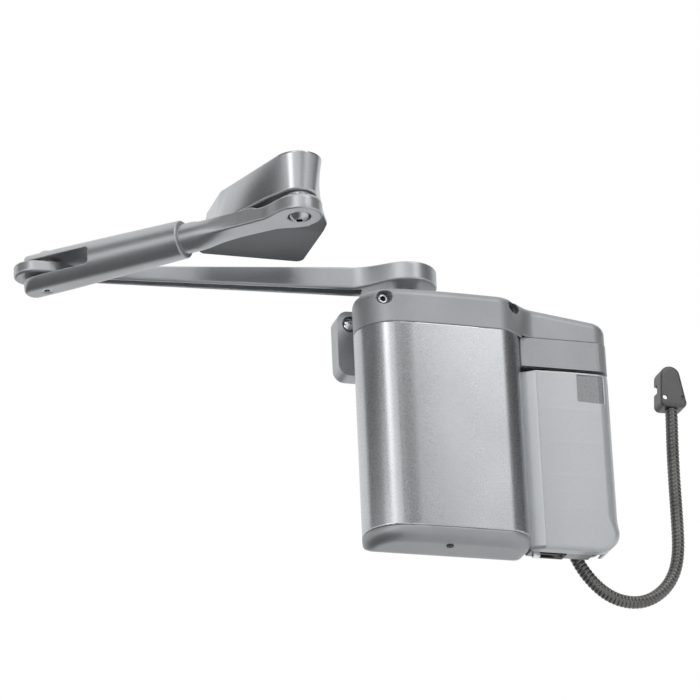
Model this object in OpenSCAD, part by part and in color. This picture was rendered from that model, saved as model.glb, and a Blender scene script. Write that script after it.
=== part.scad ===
// Low energy automatic door operator with a regular arm, frame shoe and armoured door loop.
// X runs along the door, Y runs into the door, Z is up, in millimetres.
// The origin is the centre of the rectangle of door screw holes, on the door face.

/* [Plate and closer body] */
// distance between the door screw holes along the door
plate_span_x = 140; // [136:1:144]
// distance between the door screw holes up the door
plate_span_z = 140; // [136:1:144]
// radius of a door screw hole
plate_hole_r = 3.3; // [2.8:0.1:4]
// thickness of the back plate
plate_t = 3; // [2:0.5:3]
// distance from the middle to each ear screw of the closer body
ear_screw_x = 108; // [106:0.5:110]
// thickness of the closer body's ears
ear_t = 20; // [16:0.5:22]
// height of the middle of the piston cylinder
cyl_z = 79; // [78:0.5:80]
// outer radius of the piston cylinder
cyl_r = 22.5; // [21.5:0.25:23]
// radius of the piston bore
bore_r = 16.5; // [16:0.25:17.5]

/* [Pinion and gears] */
// distance of the pinion axis from the middle of the plate
pinion_x = -59; // [-61:0.5:-57]
// distance of the pinion axis from the door face
pinion_depth = 44; // [43:0.5:45]
// module of the rack and of the pinion teeth
rack_mod = 1.25; // [1:0.05:1.4]
// teeth on the pinion
pinion_teeth = 12; // [10:1:14]
// module of the output gear pair
out_mod = 1.5; // [1.4:0.05:1.5]
// teeth on the output gear
out_teeth = 48; // [44:1:48]
// teeth on the small wheel of the idler
idler_teeth = 12; // [10:1:13]
// teeth on the large wheel of the idler
idler_big_teeth = 40; // [36:1:40]
// teeth on the motor pinion
motor_teeth = 12; // [10:1:14]
// radius of the motor can
motor_r = 27; // [24:0.5:27.5]
// length of the motor can
motor_len = 84; // [60:1:95]

/* [Covers] */
// wall of the pressed and moulded covers
wall = 2.5; // [2:0.1:3]
// height of the seam under the top cap
seam_top = 76; // [74:0.5:77]
// height of the seam over the bottom cap
seam_bottom = -123.5; // [-125:0.5:-122]
// height of the flat top of the cap
cap_top = 111.5; // [111:0.25:113]
// radius of the rounded upper edge of the cap
cap_edge_r = 7; // [5:0.5:9]
// height of the flat underside of the bottom cap
cap_bottom = -137; // [-139:0.5:-136]
// radius of the large left corner
corner_r = 35; // [32:0.5:36]
// depth of the face over the batteries
battery_depth = 78.5; // [77:0.5:80]
// height of the lower edge of the battery cover
cover_bottom = -129.5; // [-131:0.5:-129]
// elevation radius of the battery cover's lower corner
cover_corner_r = 25; // [20:0.5:28]

/* [Batteries and switch] */
// length of the rocker
rocker_len = 21.4; // [18:0.2:21.6]
// angle of the rocker at rest
rocker_tilt = 8; // [4:0.5:9]

/* [Arms] */
// distance from the pinion to the elbow pin
arm_len = 338.3; // [320:0.5:345]
// direction of the main arm at rest, from the door's right
arm_dir = 172.0; // [170:0.5:176]
// height of the middle of both arms
arm_z = 141; // [140.5:0.25:143]
// radius of the hub
hub_r = 29; // [26:0.5:30]
// radius of the round eye in the fork
eye_r = 21; // [18:0.5:21]
// distance from the elbow pin to the shoe pivot
forearm_len = 264.5; // [255:0.5:272]
// direction of the forearm at rest, from the door's right
forearm_dir = -43.8; // [-48:0.1:-40]
// radius of the forearm tube at its fork
fork_r = 20.3; // [19.5:0.1:21]
// radius of the forearm tube at its mouth
mouth_r = 17.8; // [17:0.1:18.2]
// distance from the elbow pin to the tube mouth
mouth_x = 146; // [140:1:150]
// radius of the sliding rod
rod_r = 13.95; // [13.5:0.05:14.2]
// radius of the elbow pin
elbow_pin_r = 5; // [4.5:0.1:5.5]

/* [Shoe] */
// height of the frame shoe
shoe_h = 40.5; // [39:0.5:43]
// depth of the shoe from its pivot to its base
shoe_reach = 132.5; // [130:0.5:134]
// middle of the shoe's base from its pivot, along the door
shoe_shift = -9.1; // [-10:0.1:-8]
// width of the shoe's base
shoe_w = 101.5; // [98:0.5:103]
// distance between the shoe's screw holes along the door
shoe_span_x = 60; // [54:1:64]
// distance between the shoe's screw holes up the frame
shoe_span_z = 18; // [14:1:20]
// radius of a shoe screw hole
shoe_hole_r = 2.8; // [2.4:0.1:3.2]

/* [Door loop] */
// radius of the armoured loop
loop_r = 6; // [5.5:0.1:6.2]
// distance between the end cap's screw holes
end_span = 18; // [17.6:0.2:18.8]
// radius of an end cap screw hole
end_hole_r = 2; // [1.6:0.1:2.2]

/* [Hidden] */
$fn = 48;
// gap between pieces that are fitted together
fit = 0.3;
// radial play of a turning fit
play = 0.05;
// overshoot of a cutter past a face
eps = 1;
pinion_y = -pinion_depth;
// axis of the closer body's lower and upper bearings
bearing_r = 12;
journal_r = 7;
shaft_r = 6;
square_w = 13;
hub_bottom = 131.7;
hub_top = 150;
// gear levels
plate_hi = [49, 52];
plate_lo = [19, 22];
out_z = [38, 47];
idler_small_z = [36.5, 47.5];
idler_big_z = [26, 33];
motor_gear_z = [24, 35];
pressure = 20;
out_pitch_r = out_mod * out_teeth / 2;
idler_pitch_r = out_mod * idler_teeth / 2;
idler_mod = 1;
idler_big_r = idler_mod * idler_big_teeth / 2;
motor_pitch_r = idler_mod * motor_teeth / 2;
idler_dir = -27.25;
idler_x = pinion_x + (out_pitch_r + idler_pitch_r) * cos(idler_dir);
idler_y = pinion_y + (out_pitch_r + idler_pitch_r) * sin(idler_dir);
motor_x = idler_x - idler_big_r - motor_pitch_r;
idler_pin_r = 4;
motor_shaft_r = 2.5;
rack_pitch_r = rack_mod * pinion_teeth / 2;
// the piston's slot gives the pinion room for its whole travel
piston_left = -93;
piston_right = -30;
slot_left = -88.5;
slot_right = -48;
spring_r = 12;
wire_r = 2;
spring_turns = 12;
spring_right = 86;
// ring of the fork slot and its height
fork_slot_h = 16.5;
fork_slot_x = 54;
eye_t = 11.4;
washer_t = 2.5;
rod_flat_t = 13;
rod_in = 66;
head_r = 9.5;
shoe_gap = 3.3;
shoe_z = arm_z + rod_flat_t / 2 + shoe_gap;
pivot_x = pinion_x + arm_len * cos(arm_dir) + forearm_len * cos(forearm_dir);
pivot_y = pinion_y + arm_len * sin(arm_dir) + forearm_len * sin(forearm_dir);
// the shoe's base stands on whole tenths of a millimetre
shoe_x = round(10 * (pivot_x + shoe_shift)) / 10;
shoe_base_y = round(10 * (pivot_y + shoe_reach)) / 10;
// the sloping floor of the battery housing, as depth and height
floor_line = [[-66, -128], [-50, -128], [-4, -87]];
floor_t = 2.8;
switch_at = [64, -58.5];
rocker_pin_r = 1.2;
// centre line of the door loop, from the operator to the end cap
loop_path = [
  [93.5, -35, -106], [95, -34.4, -111], [96.5, -34, -116], [98.6, -33.6, -121.2],
  [101.5, -33.1, -126.5], [105.5, -32.4, -132.3], [110.5, -31.4, -138.2],
  [116.8, -30.2, -144.2], [124.4, -28.6, -149.6], [133.2, -26.6, -153.8],
  [143.5, -24.5, -156.4], [154.5, -22.6, -157], [165.5, -21, -155.4],
  [175.8, -19.6, -151.4], [185, -18.2, -145.4], [193, -17, -137.8],
  [199.6, -15.8, -128.8], [204.6, -14.8, -118.6], [208, -13.8, -107.2],
  [210, -13, -95], [211, -12.4, -80], [211.5, -11.8, -62], [211.8, -11.4, -44],
  [212, -11.2, -26], [212.4, -11.1, -8], [213, -11, 10], [213.8, -11, 28],
  [214.4, -11, 44], [214.7, -11, 52]
];
end_x = 214.7;
end_hole_z = 55;

// outline of a polygon whose corners [x, y, radius] run counter-clockwise
function unit(v) = v / norm(v);
function xy(c) = [c[0], c[1]];
function turn_to(a) = a > 180 ? a - 360 : (a < -180 ? a + 360 : a);
function corner_arc(a, b, c, n) =
  let(p = xy(b), u = unit(xy(a) - p), v = unit(xy(c) - p), h = acos(u * v) / 2,
    m = p + unit(u + v) * b[2] / sin(h), s = p + u * b[2] / tan(h) - m,
    e = p + v * b[2] / tan(h) - m, a0 = atan2(s[1], s[0]),
    d = turn_to(atan2(e[1], e[0]) - a0))
  [for (k = [0:n]) m + b[2] * [cos(a0 + d * k / n), sin(a0 + d * k / n)]];
function outline(c, steps) =
  [for (i = [0:len(c) - 1])
    each corner_arc(c[(i + len(c) - 1) % len(c)], c[i], c[(i + 1) % len(c)], steps[i])];
// the same corners moved inwards by d
function edge_in(p, q) = let(e = unit(xy(q) - xy(p))) [-e[1], e[0]];
function inset(c, d) =
  [for (i = [0:len(c) - 1])
    let(n1 = edge_in(c[(i + len(c) - 1) % len(c)], c[i]), n2 = edge_in(c[i], c[(i + 1) % len(c)]),
      p = xy(c[i]) + d * (n1 + n2) / (1 + n1 * n2))
    [p[0], p[1], max(c[i][2] - d, 0.4)]];
function lift(ring, z) = [for (p = ring) [p[0], p[1], z]];
// top rings sink towards the right end by slope times the distance past x0
function lean(ring, z, x0, slope) = [for (p = ring) [p[0], p[1], z - slope * max(p[0] - x0, 0)]];

// solid through a stack of rings with equal point counts, lowest ring first
module stack(rings) {
  n = len(rings[0]);
  m = len(rings);
  polyhedron(
    points = [for (r = rings) each r],
    faces = concat(
      [[for (i = [0:n - 1]) i]],
      [[for (i = [0:n - 1]) (m - 1) * n + n - 1 - i]],
      [for (k = [0:m - 2]) for (i = [0:n - 1]) [k * n + i, (k + 1) * n + i,
        (k + 1) * n + (i + 1) % n]],
      [for (k = [0:m - 2]) for (i = [0:n - 1]) [k * n + i, (k + 1) * n + (i + 1) % n,
        k * n + (i + 1) % n]]),
    convexity = 6);
}

// inset of a rounded edge of radius r at depth t below its crest
function edge_inset(r, t) = t >= r ? 0 : r - sqrt(r * r - (r - t) * (r - t));
edge_steps = [1, 0.78, 0.5, 0.28, 0.1, 0];

// plan of the large left body and plan of the battery side
front_c = [[-133.3, -99.6, corner_r], [-42, -102.4, 1400], [37.5, -100.2, 27], [37.5, -2, 0.5],
  [-97.7, -2, 0.5]];
front_n = [12, 3, 5, 1, 1];
function side_c(right) = [[40, -battery_depth + 12.5, 1], [52.5, -battery_depth, 3],
  [right, -battery_depth, 14], [right, -2, 0.5], [40, -2, 0.5]];
side_n = [1, 2, 6, 1, 1];
side_right = 128.5;
// plan of the cap's lower step, which runs into the large body
step_c = [[30, -battery_depth, 1], [side_right, -battery_depth, 16], [side_right, -2, 0.5],
  [30, -2, 0.5]];
step_n = [1, 8, 1, 1];
band_c = [[38.5, -battery_depth, 1], [side_right, -battery_depth, 14],
  [side_right, -2, 0.5], [38.5, -2, 0.5]];

// upper or lower rounded body over one of the plans
module domed(c, n, z0, z1, d, r, x0, slope) {
  stack(concat(
    [lift(outline(inset(c, d), n), z0)],
    [for (t = edge_steps) lean(outline(inset(c, d + edge_inset(r, t * r)), n), z1 - t * r, x0, slope)]));
}
module dished(c, n, z0, z1, d, r) {
  stack(concat(
    [for (k = [len(edge_steps) - 1:-1:0]) let(t = edge_steps[k])
      lift(outline(inset(c, d + edge_inset(r, t * r)), n), z0 + t * r)],
    [lift(outline(inset(c, d), n), z1)]));
}

module at_pinion(z) {
  translate([pinion_x, pinion_y, z]) children();
}
// frame of the main arm, X towards the elbow
module arm_frame() {
  at_pinion(arm_z) rotate([0, 0, arm_dir]) children();
}
// frame of the forearm, X towards the shoe pivot
module forearm_frame() {
  arm_frame() translate([arm_len, 0, 0]) rotate([0, 0, forearm_dir - arm_dir]) children();
}
// cylinder along X from x0 to x1
module bar_x(r, x0, x1) {
  translate([x0, 0, 0]) rotate([0, 90, 0]) cylinder(r = r, h = x1 - x0);
}
// cylinder along Y from y0 to y1 at x, z
module bar_y(r, x, z, y0, y1) {
  translate([x, y1, z]) rotate([90, 0, 0]) cylinder(r = r, h = y1 - y0);
}

// gear teeth
function inv(a) = tan(a) * 180 / PI - a;
function half_tooth(m, z, r, slack) =
  let(rp = m * z / 2, rb = rp * cos(pressure), q = max(r, rb))
  90 / z - slack / rp * 180 / PI + inv(pressure) - inv(acos(min(1, rb / q)));
function gear_points(m, z, slack) =
  let(rp = m * z / 2, ra = rp + 0.9 * m, rf = rp - 1.2 * m)
  [for (k = [0:z - 1]) for (s = [[rf, -1], [rp - 0.3 * m, -1], [rp + 0.3 * m, -1], [ra, -1],
      [ra, 1], [rp + 0.3 * m, 1], [rp - 0.3 * m, 1], [rf, 1]])
    let(a = 360 * k / z + s[1] * half_tooth(m, z, s[0], slack)) s[0] * [cos(a), sin(a)]];
module gear(m, z, span, slack) {
  translate([0, 0, span[0]]) linear_extrude(span[1] - span[0]) polygon(gear_points(m, z, slack));
}
gear_slack = 0.09;

// tube along a path of points, with a seam ring at each point
function tangent(p, i) = unit(p[min(i + 1, len(p) - 1)] - p[max(i - 1, 0)]);
function tube_ring(p, i, r, n) =
  let(t = tangent(p, i), s = unit(cross(t, [0, 1, 0])), u = cross(t, s))
  [for (k = [0:n - 1]) p[i] + r * (cos(360 * k / n) * u + sin(360 * k / n) * s)];
module tube_along(p, r, n) {
  stack([for (i = [0:len(p) - 1]) tube_ring(p, i, r, n)]);
}

module closer_body() {
  color("#7e8286") difference() {
    union() {
      translate([0, pinion_y, cyl_z]) bar_x(cyl_r, -97, 90);
      // ears and the webs that join them to the cylinder
      translate([-121, -ear_t, 52]) ear_block(34, 65);
      translate([88, -ear_t, 56]) ear_block(33, 38);
      translate([-97, -34, 62]) cube([12, 31, 34]);
      translate([88 - 10, -34, 62]) cube([12, 31, 30]);
      // bosses for the pinion and for the gearbox
      at_pinion(plate_hi[1]) cylinder(r = 15.5, h = 106.5 - plate_hi[1]);
      translate([2, pinion_y, plate_hi[1]]) cylinder(r = 7, h = 20);
      translate([-90, pinion_y, plate_hi[1]]) cylinder(r = 6, h = 20);
      // lugs for the cap screws
      translate([-104, -83.5, 92]) cube([16, 44, 15]);
      translate([26, -75.6, 90]) cube([14, 35.6, 18.5]);
    }
    translate([0, pinion_y, cyl_z]) bar_x(bore_r, -97 - eps, 90 + eps);
    at_pinion(plate_hi[1] - eps) cylinder(r = journal_r + 0.6, h = 106.5 - plate_hi[1] + 2 * eps);
    at_pinion(plate_hi[1] - eps) cylinder(r = bearing_r, h = 6 + eps);
    at_pinion(100.5) cylinder(r = bearing_r, h = 6 + eps);
    at_pinion(cyl_z - 11) cylinder(r = 10, h = 22);
    for (s = [[-ear_screw_x, 104], [ear_screw_x, 74]]) {
      bar_y(3.6, s[0], s[1], -ear_t - eps, eps);
      bar_y(8, s[0], s[1], -ear_t - eps, -ear_t + 5);
    }
    bar_y(2.5, -98, 101, -84.5, -62);
    bar_y(2.5, 33, 106, -78.5, -58);
    for (x = [20, 32]) translate([x, pinion_y, cyl_z - cyl_r - eps]) cylinder(r = 3, h = 5 + eps);
  }
}
// rounded ear, its left edge at x 0
module ear_block(w, h) {
  r = 11;
    translate([0, ear_t, 0]) rotate([90, 0, 0]) linear_extrude(ear_t) {
      translate([r, 0]) square([w - 2 * r, h]);
      translate([0, r]) square([w, h - 2 * r]);
      for (x = [r, w - r], z = [r, h - r]) translate([x, z]) circle(r = r);
    }
}

module back_plate() {
  color("#b9bcbe") difference() {
    union() {
      translate([-86.5, -plate_t, -106]) cube([174, plate_t, 212]);
      translate([-94, -plate_t, -106]) cube([217, plate_t, 157]);
      for (x = [-52, 20], z = [-78, -16]) bar_y(3, x, z, -11, -plate_t);
    }
    for (x = [-1, 1], z = [-1, 1])
      bar_y(plate_hole_r, x * plate_span_x / 2, z * plate_span_z / 2, -plate_t - eps, eps);
  }
}

module pinion_shaft() {
  color("#a9adb1") difference() {
    at_pinion(0) union() {
      translate([0, 0, plate_lo[0]]) cylinder(r = shaft_r, h = plate_hi[1] + 6 - plate_lo[0]);
      translate([0, 0, plate_hi[1]]) cylinder(r = journal_r, h = 127.5 - plate_hi[1]);
      gear(rack_mod, pinion_teeth, [cyl_z - 9, cyl_z + 9], gear_slack);
      translate([0, 0, 133.5]) cube([square_w, square_w, 31], center = true);
    }
    at_pinion(130) cylinder(r = 4, h = 30);
    at_pinion(cyl_z - 9.5) difference() {
      cylinder(r = 20, h = 19);
      translate([0, 0, -eps]) linear_extrude(19 + 2 * eps)
        polygon(gear_points(rack_mod, pinion_teeth, gear_slack));
    }
  }
}

module pinion_bearings() {
  color("#caa45a") for (z = [plate_hi[1], 100.5]) at_pinion(z) difference() {
    cylinder(r = bearing_r, h = 6);
    translate([0, 0, -eps]) cylinder(r = journal_r + play, h = 6 + 2 * eps);
  }
}

// bright collar that closes the shaft hole between the cap and the hub
module pinion_collar() {
  color("#d4d6d8") at_pinion(106.5) difference() {
    union() {
      cylinder(r = 14.5, h = 17);
      translate([0, 0, 17]) cylinder(r1 = 14.5, r2 = 12.5, h = 3);
    }
    translate([0, 0, -eps]) cylinder(r = journal_r + 3, h = 22);
  }
}

module rack_piston() {
  pitch = PI * rack_mod;
  rack_y = -rack_pitch_r;
  root = 1.2 * rack_mod + fit;
  tip = 0.9 * rack_mod;
  base_w = pitch / 4 - gear_slack + root * tan(pressure);
  tip_w = pitch / 4 - gear_slack - tip * tan(pressure);
  color("#9fa3a6") translate([0, pinion_y, cyl_z]) difference() {
    bar_x(bore_r - play, piston_left, piston_right);
    // slot for the pinion, open above and below, with the rack on its front side
    translate([slot_left, rack_y - 1.2 * rack_mod, -20])
      cube([slot_right - slot_left, 10.5 + 1.2 * rack_mod - rack_y, 40]);
    translate([piston_right - 5, 0, 0]) bar_x(12.5, 0, 6);
  }
  color("#9fa3a6") translate([0, pinion_y + rack_y, cyl_z])
    for (k = [0:9]) let(x = pinion_x + (k - 7 + 0.5) * pitch)
      intersection() {
        translate([x, 0, -8.5]) linear_extrude(17)
          polygon([[-base_w, -root], [base_w, -root], [tip_w, tip], [-tip_w, tip]]);
        translate([slot_left, -20, -20]) cube([slot_right - slot_left, 40, 40]);
      }
}

module closer_spring() {
  n = 14;
  steps = spring_turns * n;
  x0 = piston_right - 5 + wire_r + fit;
  x1 = spring_right - wire_r;
  color("#5d6165") translate([0, pinion_y, cyl_z]) stack([for (i = [0:steps])
    let(a = 360 * i / n, c = [x0 + (x1 - x0) * i / steps, spring_r * 0.8 * cos(a), spring_r * 0.8 * sin(a)],
      o = [0, cos(a), sin(a)])
    [for (k = [0:6]) c + wire_r * (cos(360 * k / 7) * o + sin(360 * k / 7) * [1, 0, 0])]]);
}

module end_plugs() {
  color("#8f9397") translate([0, pinion_y, cyl_z]) {
    bar_x(bore_r, -97, -94.5);
    bar_x(9, -99, -96.9);
    bar_x(bore_r, spring_right, 90);
    bar_x(9, 89.9, 92);
  }
}

module valve_screws() {
  color("#d9dadb") for (x = [20, 32]) translate([x, pinion_y, cyl_z - cyl_r - 1.5]) difference() {
    cylinder(r = 3, h = 5.5);
    translate([-3.5, -0.5, -eps]) cube([7, 1, 1 + eps]);
  }
}

module gearbox_plates() {
  color("#c3c6c8") difference() {
    union() {
      for (z = [plate_hi, plate_lo]) translate([-96, -88, z[0]]) gear_plate(z[1] - z[0]);
      for (p = gear_posts()) translate([p[0], p[1], plate_lo[0]])
        cylinder(r = 2.5, h = plate_hi[1] - plate_lo[0]);
    }
    at_pinion(plate_hi[0] - eps) cylinder(r = 9, h = 5);
    at_pinion(plate_lo[0] - eps) cylinder(r = shaft_r + play, h = 5);
    translate([idler_x, idler_y, plate_lo[0] - eps]) cylinder(r = idler_pin_r + play, h = 50);
    translate([motor_x, idler_y, plate_lo[0] - eps]) cylinder(r = 8, h = 5);
    for (s = [-1, 1]) translate([motor_x + s * 14, idler_y, plate_lo[0] - eps])
      cylinder(r = 2.2, h = 5);
  }
}
function gear_posts() = [[-92.2, -66.8], [-92, -16], [2, -14], [4, -84]];
module gear_plate(t) {
  linear_extrude(t) polygon([[0, 22], [10, 6], [34, 0], [102, 0], [106, 4], [106, 82], [100, 83],
    [2, 83], [0, 78]]);
}

module output_gear() {
  color("#b0a06a") at_pinion(0) difference() {
    union() {
      rotate([0, 0, idler_dir]) gear(out_mod, out_teeth, out_z, gear_slack);
      translate([0, 0, out_z[0] - 6]) cylinder(r = 10, h = 7);
    }
    translate([0, 0, out_z[0] - 6 - eps]) cylinder(r = shaft_r, h = 20);
    for (a = [0:60:300]) rotate([0, 0, a + 30]) translate([22, 0, out_z[0] - eps])
      cylinder(r = 7, h = 12);
  }
}

module idler_gear() {
  color("#9d9fa1") translate([idler_x, idler_y, 0]) {
    rotate([0, 0, idler_dir + 180 + 180 / idler_teeth])
      gear(out_mod, idler_teeth, idler_small_z, gear_slack);
    gear(idler_mod, idler_big_teeth, idler_big_z, gear_slack);
    translate([0, 0, plate_lo[0]]) cylinder(r = idler_pin_r, h = plate_hi[1] - plate_lo[0]);
    translate([0, 0, idler_big_z[1] - 0.1]) cylinder(r = 6.5, h = 4);
  }
}

module motor_pinion() {
  color("#b4b7ba") translate([motor_x, idler_y, 0]) {
    rotate([0, 0, 180 / motor_teeth]) gear(idler_mod, motor_teeth, motor_gear_z, gear_slack);
    translate([0, 0, plate_lo[0] - 5]) cylinder(r = motor_shaft_r, h = 20);
  }
}

module motor() {
  color("#3f4347") translate([motor_x, idler_y, plate_lo[0]]) difference() {
    union() {
      translate([0, 0, -motor_len]) cylinder(r = motor_r, h = motor_len);
      translate([0, 0, -motor_len - 7]) cylinder(r = 9, h = 8);
      for (s = [-1, 1]) translate([s * 17 - 3, -1, -motor_len - 8]) cube([6, 2, 9]);
    }
    translate([0, 0, -5 - eps]) cylinder(r = motor_shaft_r + play, h = 7 + eps);
    translate([0, 0, -8]) cylinder(r = 4.5, h = 3.5);
    for (s = [-1, 1]) translate([s * 14, 0, -7]) cylinder(r = 2.1, h = 8);
  }
}

module motor_screws() {
  color("#c8cacc") for (s = [-1, 1]) translate([motor_x + s * 14, idler_y, 0]) {
    translate([0, 0, plate_lo[0] - 6]) cylinder(r = 2.1, h = 9.5);
    translate([0, 0, plate_lo[1]]) cylinder(r = 3.2, h = 1.6);
  }
}

module circuit_board() {
  color("#2f6b46") difference() {
    translate([-58, -12.6, -84]) cube([84, 1.6, 74]);
    for (x = [-52, 20], z = [-78, -16]) bar_y(1.6, x, z, -14, -10);
  }
}

module board_parts() {
  color("#26282b") {
    translate([-46, -27.6, -34]) cube([18, 15, 20]);
    translate([-22, -27.6, -34]) cube([18, 15, 20]);
    translate([-14, -22.6, -80]) cube([28, 10, 12]);
    translate([-42, -14.8, -62]) cube([16, 2.2, 16]);
    bar_y(6.5, -30, -72, -30.6, -12.6);
    bar_y(4, 12, -44, -20.6, -12.6);
  }
}

// one-piece cap over the closer body, with its lower step over the batteries
module top_cap() {
  color("#a2a6aa") difference() {
    union() {
      domed(front_c, front_n, seam_top, cap_top, 0, cap_edge_r, 500, 0);
      domed(step_c, step_n, 79.5, cap_top, 0, cap_edge_r, 43, 0.13);
      // concave valley between the two faces
      translate([0, 0, 79.5]) linear_extrude(cap_top - cap_edge_r + 2 - 79.5) difference() {
        translate([34.3, -85.9]) square([12.4, 9]);
        translate([46.7, -92.5]) circle(r = 14);
      }
    }
    difference() {
      union() {
        domed(front_c, front_n, seam_top - eps, cap_top - wall, wall, cap_edge_r, 500, 0);
        domed(step_c, step_n, 79.5 - eps, cap_top - wall, wall, cap_edge_r, 43, 0.13);
        translate([20, -battery_depth + wall, seam_top - eps])
          cube([26, battery_depth - 6, cap_top - wall - seam_top + eps - 0.1]);
      }
      bar_y(9.5, -98, 101, -110, -84);
      bar_y(8, 33, 106, -110, -76);
    }
    bar_y(6.8, -98, 101, -120, -87);
    bar_y(2.8, -98, 101, -120, -80);
    bar_y(5.5, 33, 106, -120, -81);
    bar_y(2.8, 33, 106, -120, -70);
    at_pinion(cap_top - wall - eps) cylinder(r = 16.5, h = 2 * wall + 2);
    // open back, and the notch for the ear
    translate([-94, -4.8, 60]) cube([218, 8, cap_top - wall - 60]);
    translate([-140, -ear_t - 2 * fit, 40]) cube([53, 40, 90]);
  }
}

module front_cover() {
  color("#c6c9cc") difference() {
    translate([0, 0, seam_bottom]) linear_extrude(seam_top - seam_bottom) difference() {
      polygon(outline(front_c, front_n));
      polygon(outline(inset(front_c, wall), front_n));
      translate([-94, -8]) square([140, 10]);
      translate([30, -68]) square([20, 76]);
    }
    translate([-140, -ear_t - 2 * fit, 50]) cube([60, 40, 40]);
    under_chamfer(wall);
  }
}

// everything under the rear chamfer of the bottom, moved up by lift
module under_chamfer(lift) {
  translate([-150, -58, cap_bottom]) rotate([atan2(27, 56), 0, 0])
    translate([0, 0, lift - 60]) cube([220, 90, 60]);
}

module bottom_cap() {
  color("#a9adb0") difference() {
    dished(front_c, front_n, cap_bottom, seam_bottom, 0, 11);
    dished(front_c, front_n, cap_bottom + wall, seam_bottom + eps, wall, 9);
    under_chamfer(0);
    bar_z(1.8, [-44, -88], cap_bottom - eps, cap_bottom + 10);
    translate([-94, -4.7, -126]) cube([140, 8, 10]);
  }
  // chamfered floor at the rear
  color("#a9adb0") intersection() {
    translate([-150, -58, cap_bottom]) rotate([atan2(27, 56), 0, 0]) cube([220, 60.5, wall]);
    dished(front_c, front_n, cap_bottom, seam_bottom + 40, 0, 11);
    translate([-150, -110, -160]) cube([220, 105, 50]);
  }
}
module bar_z(r, p, z0, z1) {
  translate([p[0], p[1], z0]) cylinder(r = r, h = z1 - z0);
}

module cap_screws() {
  color("#d5d7d9") {
    socket_screw_y(-98, 101, -87, 4.5, 2.5, 22);
    socket_screw_y(33, 106, -81, 4.5, 2.5, 22);
  }
}
// socket head screw whose head rests at depth y and points out of the door
module socket_screw_y(x, z, y, r, shank, length) {
  difference() {
    union() {
      bar_y(r, x, z, y - 4.5, y);
      bar_y(shank, x, z, y - 0.1, y + length);
    }
    bar_y(2.2, x, z, y - 5.5, y - 2);
  }
}

module bottom_screw() {
  color("#d5d7d9") difference() {
    union() {
      bar_z(3.4, [-44, -88], cap_bottom - 1.2, cap_bottom);
      bar_z(1.8, [-44, -88], cap_bottom, cap_bottom + 12);
    }
    bar_z(1.2, [-44, -88], cap_bottom - 2, cap_bottom - 0.4);
  }
}

module ear_screws() {
  color("#dcdddf") for (s = [[-ear_screw_x, 104], [ear_screw_x, 74]]) difference() {
    union() {
      bar_y(3.6, s[0], s[1], -ear_t + 4.9, 0);
      bar_y(6.6, s[0], s[1], -ear_t + 1.5, -ear_t + 5);
      intersection() {
        translate([s[0], -ear_t + 1.5 + 10, s[1]]) sphere(r = 12);
        bar_y(6.6, s[0], s[1], -ear_t - 2, -ear_t + 2);
      }
    }
    bar_y(2, s[0], s[1], -ear_t - 3, -ear_t + 2);
  }
}

module battery_housing() {
  color("#b4b8bb") {
    // band above the battery cover and the shelf under the closer body
    difference() {
      translate([0, 0, 50.5]) linear_extrude(28.7) difference() {
        polygon(outline(band_c, step_n));
        polygon(outline(inset(band_c, wall), step_n));
        translate([30, -67.5]) square([20, 72.5]);
        translate([30, -8]) square([93, 10]);
      }
    }
    translate([43, -battery_depth + 4.5, 50.5]) cube([82, battery_depth - 8, wall]);
    // back panel
    difference() {
      translate([43, back_panel_y, -90]) cube([82, 2.9, 142]);
      bar_y(8, plate_span_x / 2, -plate_span_z / 2, -10, 0);
    }
    // side wall towards the motor
    difference() {
      translate([40.5, -59.4, -126]) cube([2.5, 55.9, 178]);
      bar_x_window();
      floor_cut(38, 8);
    }
    difference() {
      intersection() {
        translate([43, 0, 0]) floor_sheet(82);
        floor_sides();
      }
      bar_on_exit(8, -20, 20);
      translate([switch_at[0] - 11.5, switch_at[1] - 4.9, -140]) cube([23, 9.8, 20]);
      translate([46, -64.6, -140]) cube([3.4, 3.2, 20]);
    }
  }
}
module bar_x_window() {
  translate([38, -50, 20]) cube([8, 20, 16]);
}
// elevation of the battery bay, rounded like the cover's lower corner
module floor_sides() {
  r = cover_corner_r - 2 * wall;
  c = [side_right - cover_corner_r, cover_bottom + cover_corner_r];
  translate([0, 10, 0]) rotate([90, 0, 0]) linear_extrude(100) {
    translate([30, cover_bottom]) square([c[0] - 30, 80]);
    translate([30, c[1]]) square([c[0] + r - 30, 80]);
    translate(c) circle(r = r);
  }
}
// the sheet below the floor line, and everything under it
module floor_sheet(w) {
  rotate([90, 0, 90]) linear_extrude(w)
    polygon(concat(floor_line, [[-4, -87 + floor_t * 1.35], [-51, -128 + floor_t], [-66, -128 + floor_t]]));
}
module floor_cut(x, w) {
  translate([x, 0, 0]) rotate([90, 0, 90]) linear_extrude(w)
    polygon(concat([[-100, -128]], floor_line, [[20, -66], [20, -200], [-100, -200]]));
}
// cylinder along the first stretch of the loop
module bar_on_exit(r, s0, s1) {
  p = loop_path[1];
  d = unit(loop_path[2] - loop_path[0]);
  translate(p) rotate([0, 0, atan2(d[1], d[0])]) rotate([0, acos(d[2]), 0])
    translate([0, 0, s0]) cylinder(r = r, h = s1 - s0);
}

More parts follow.
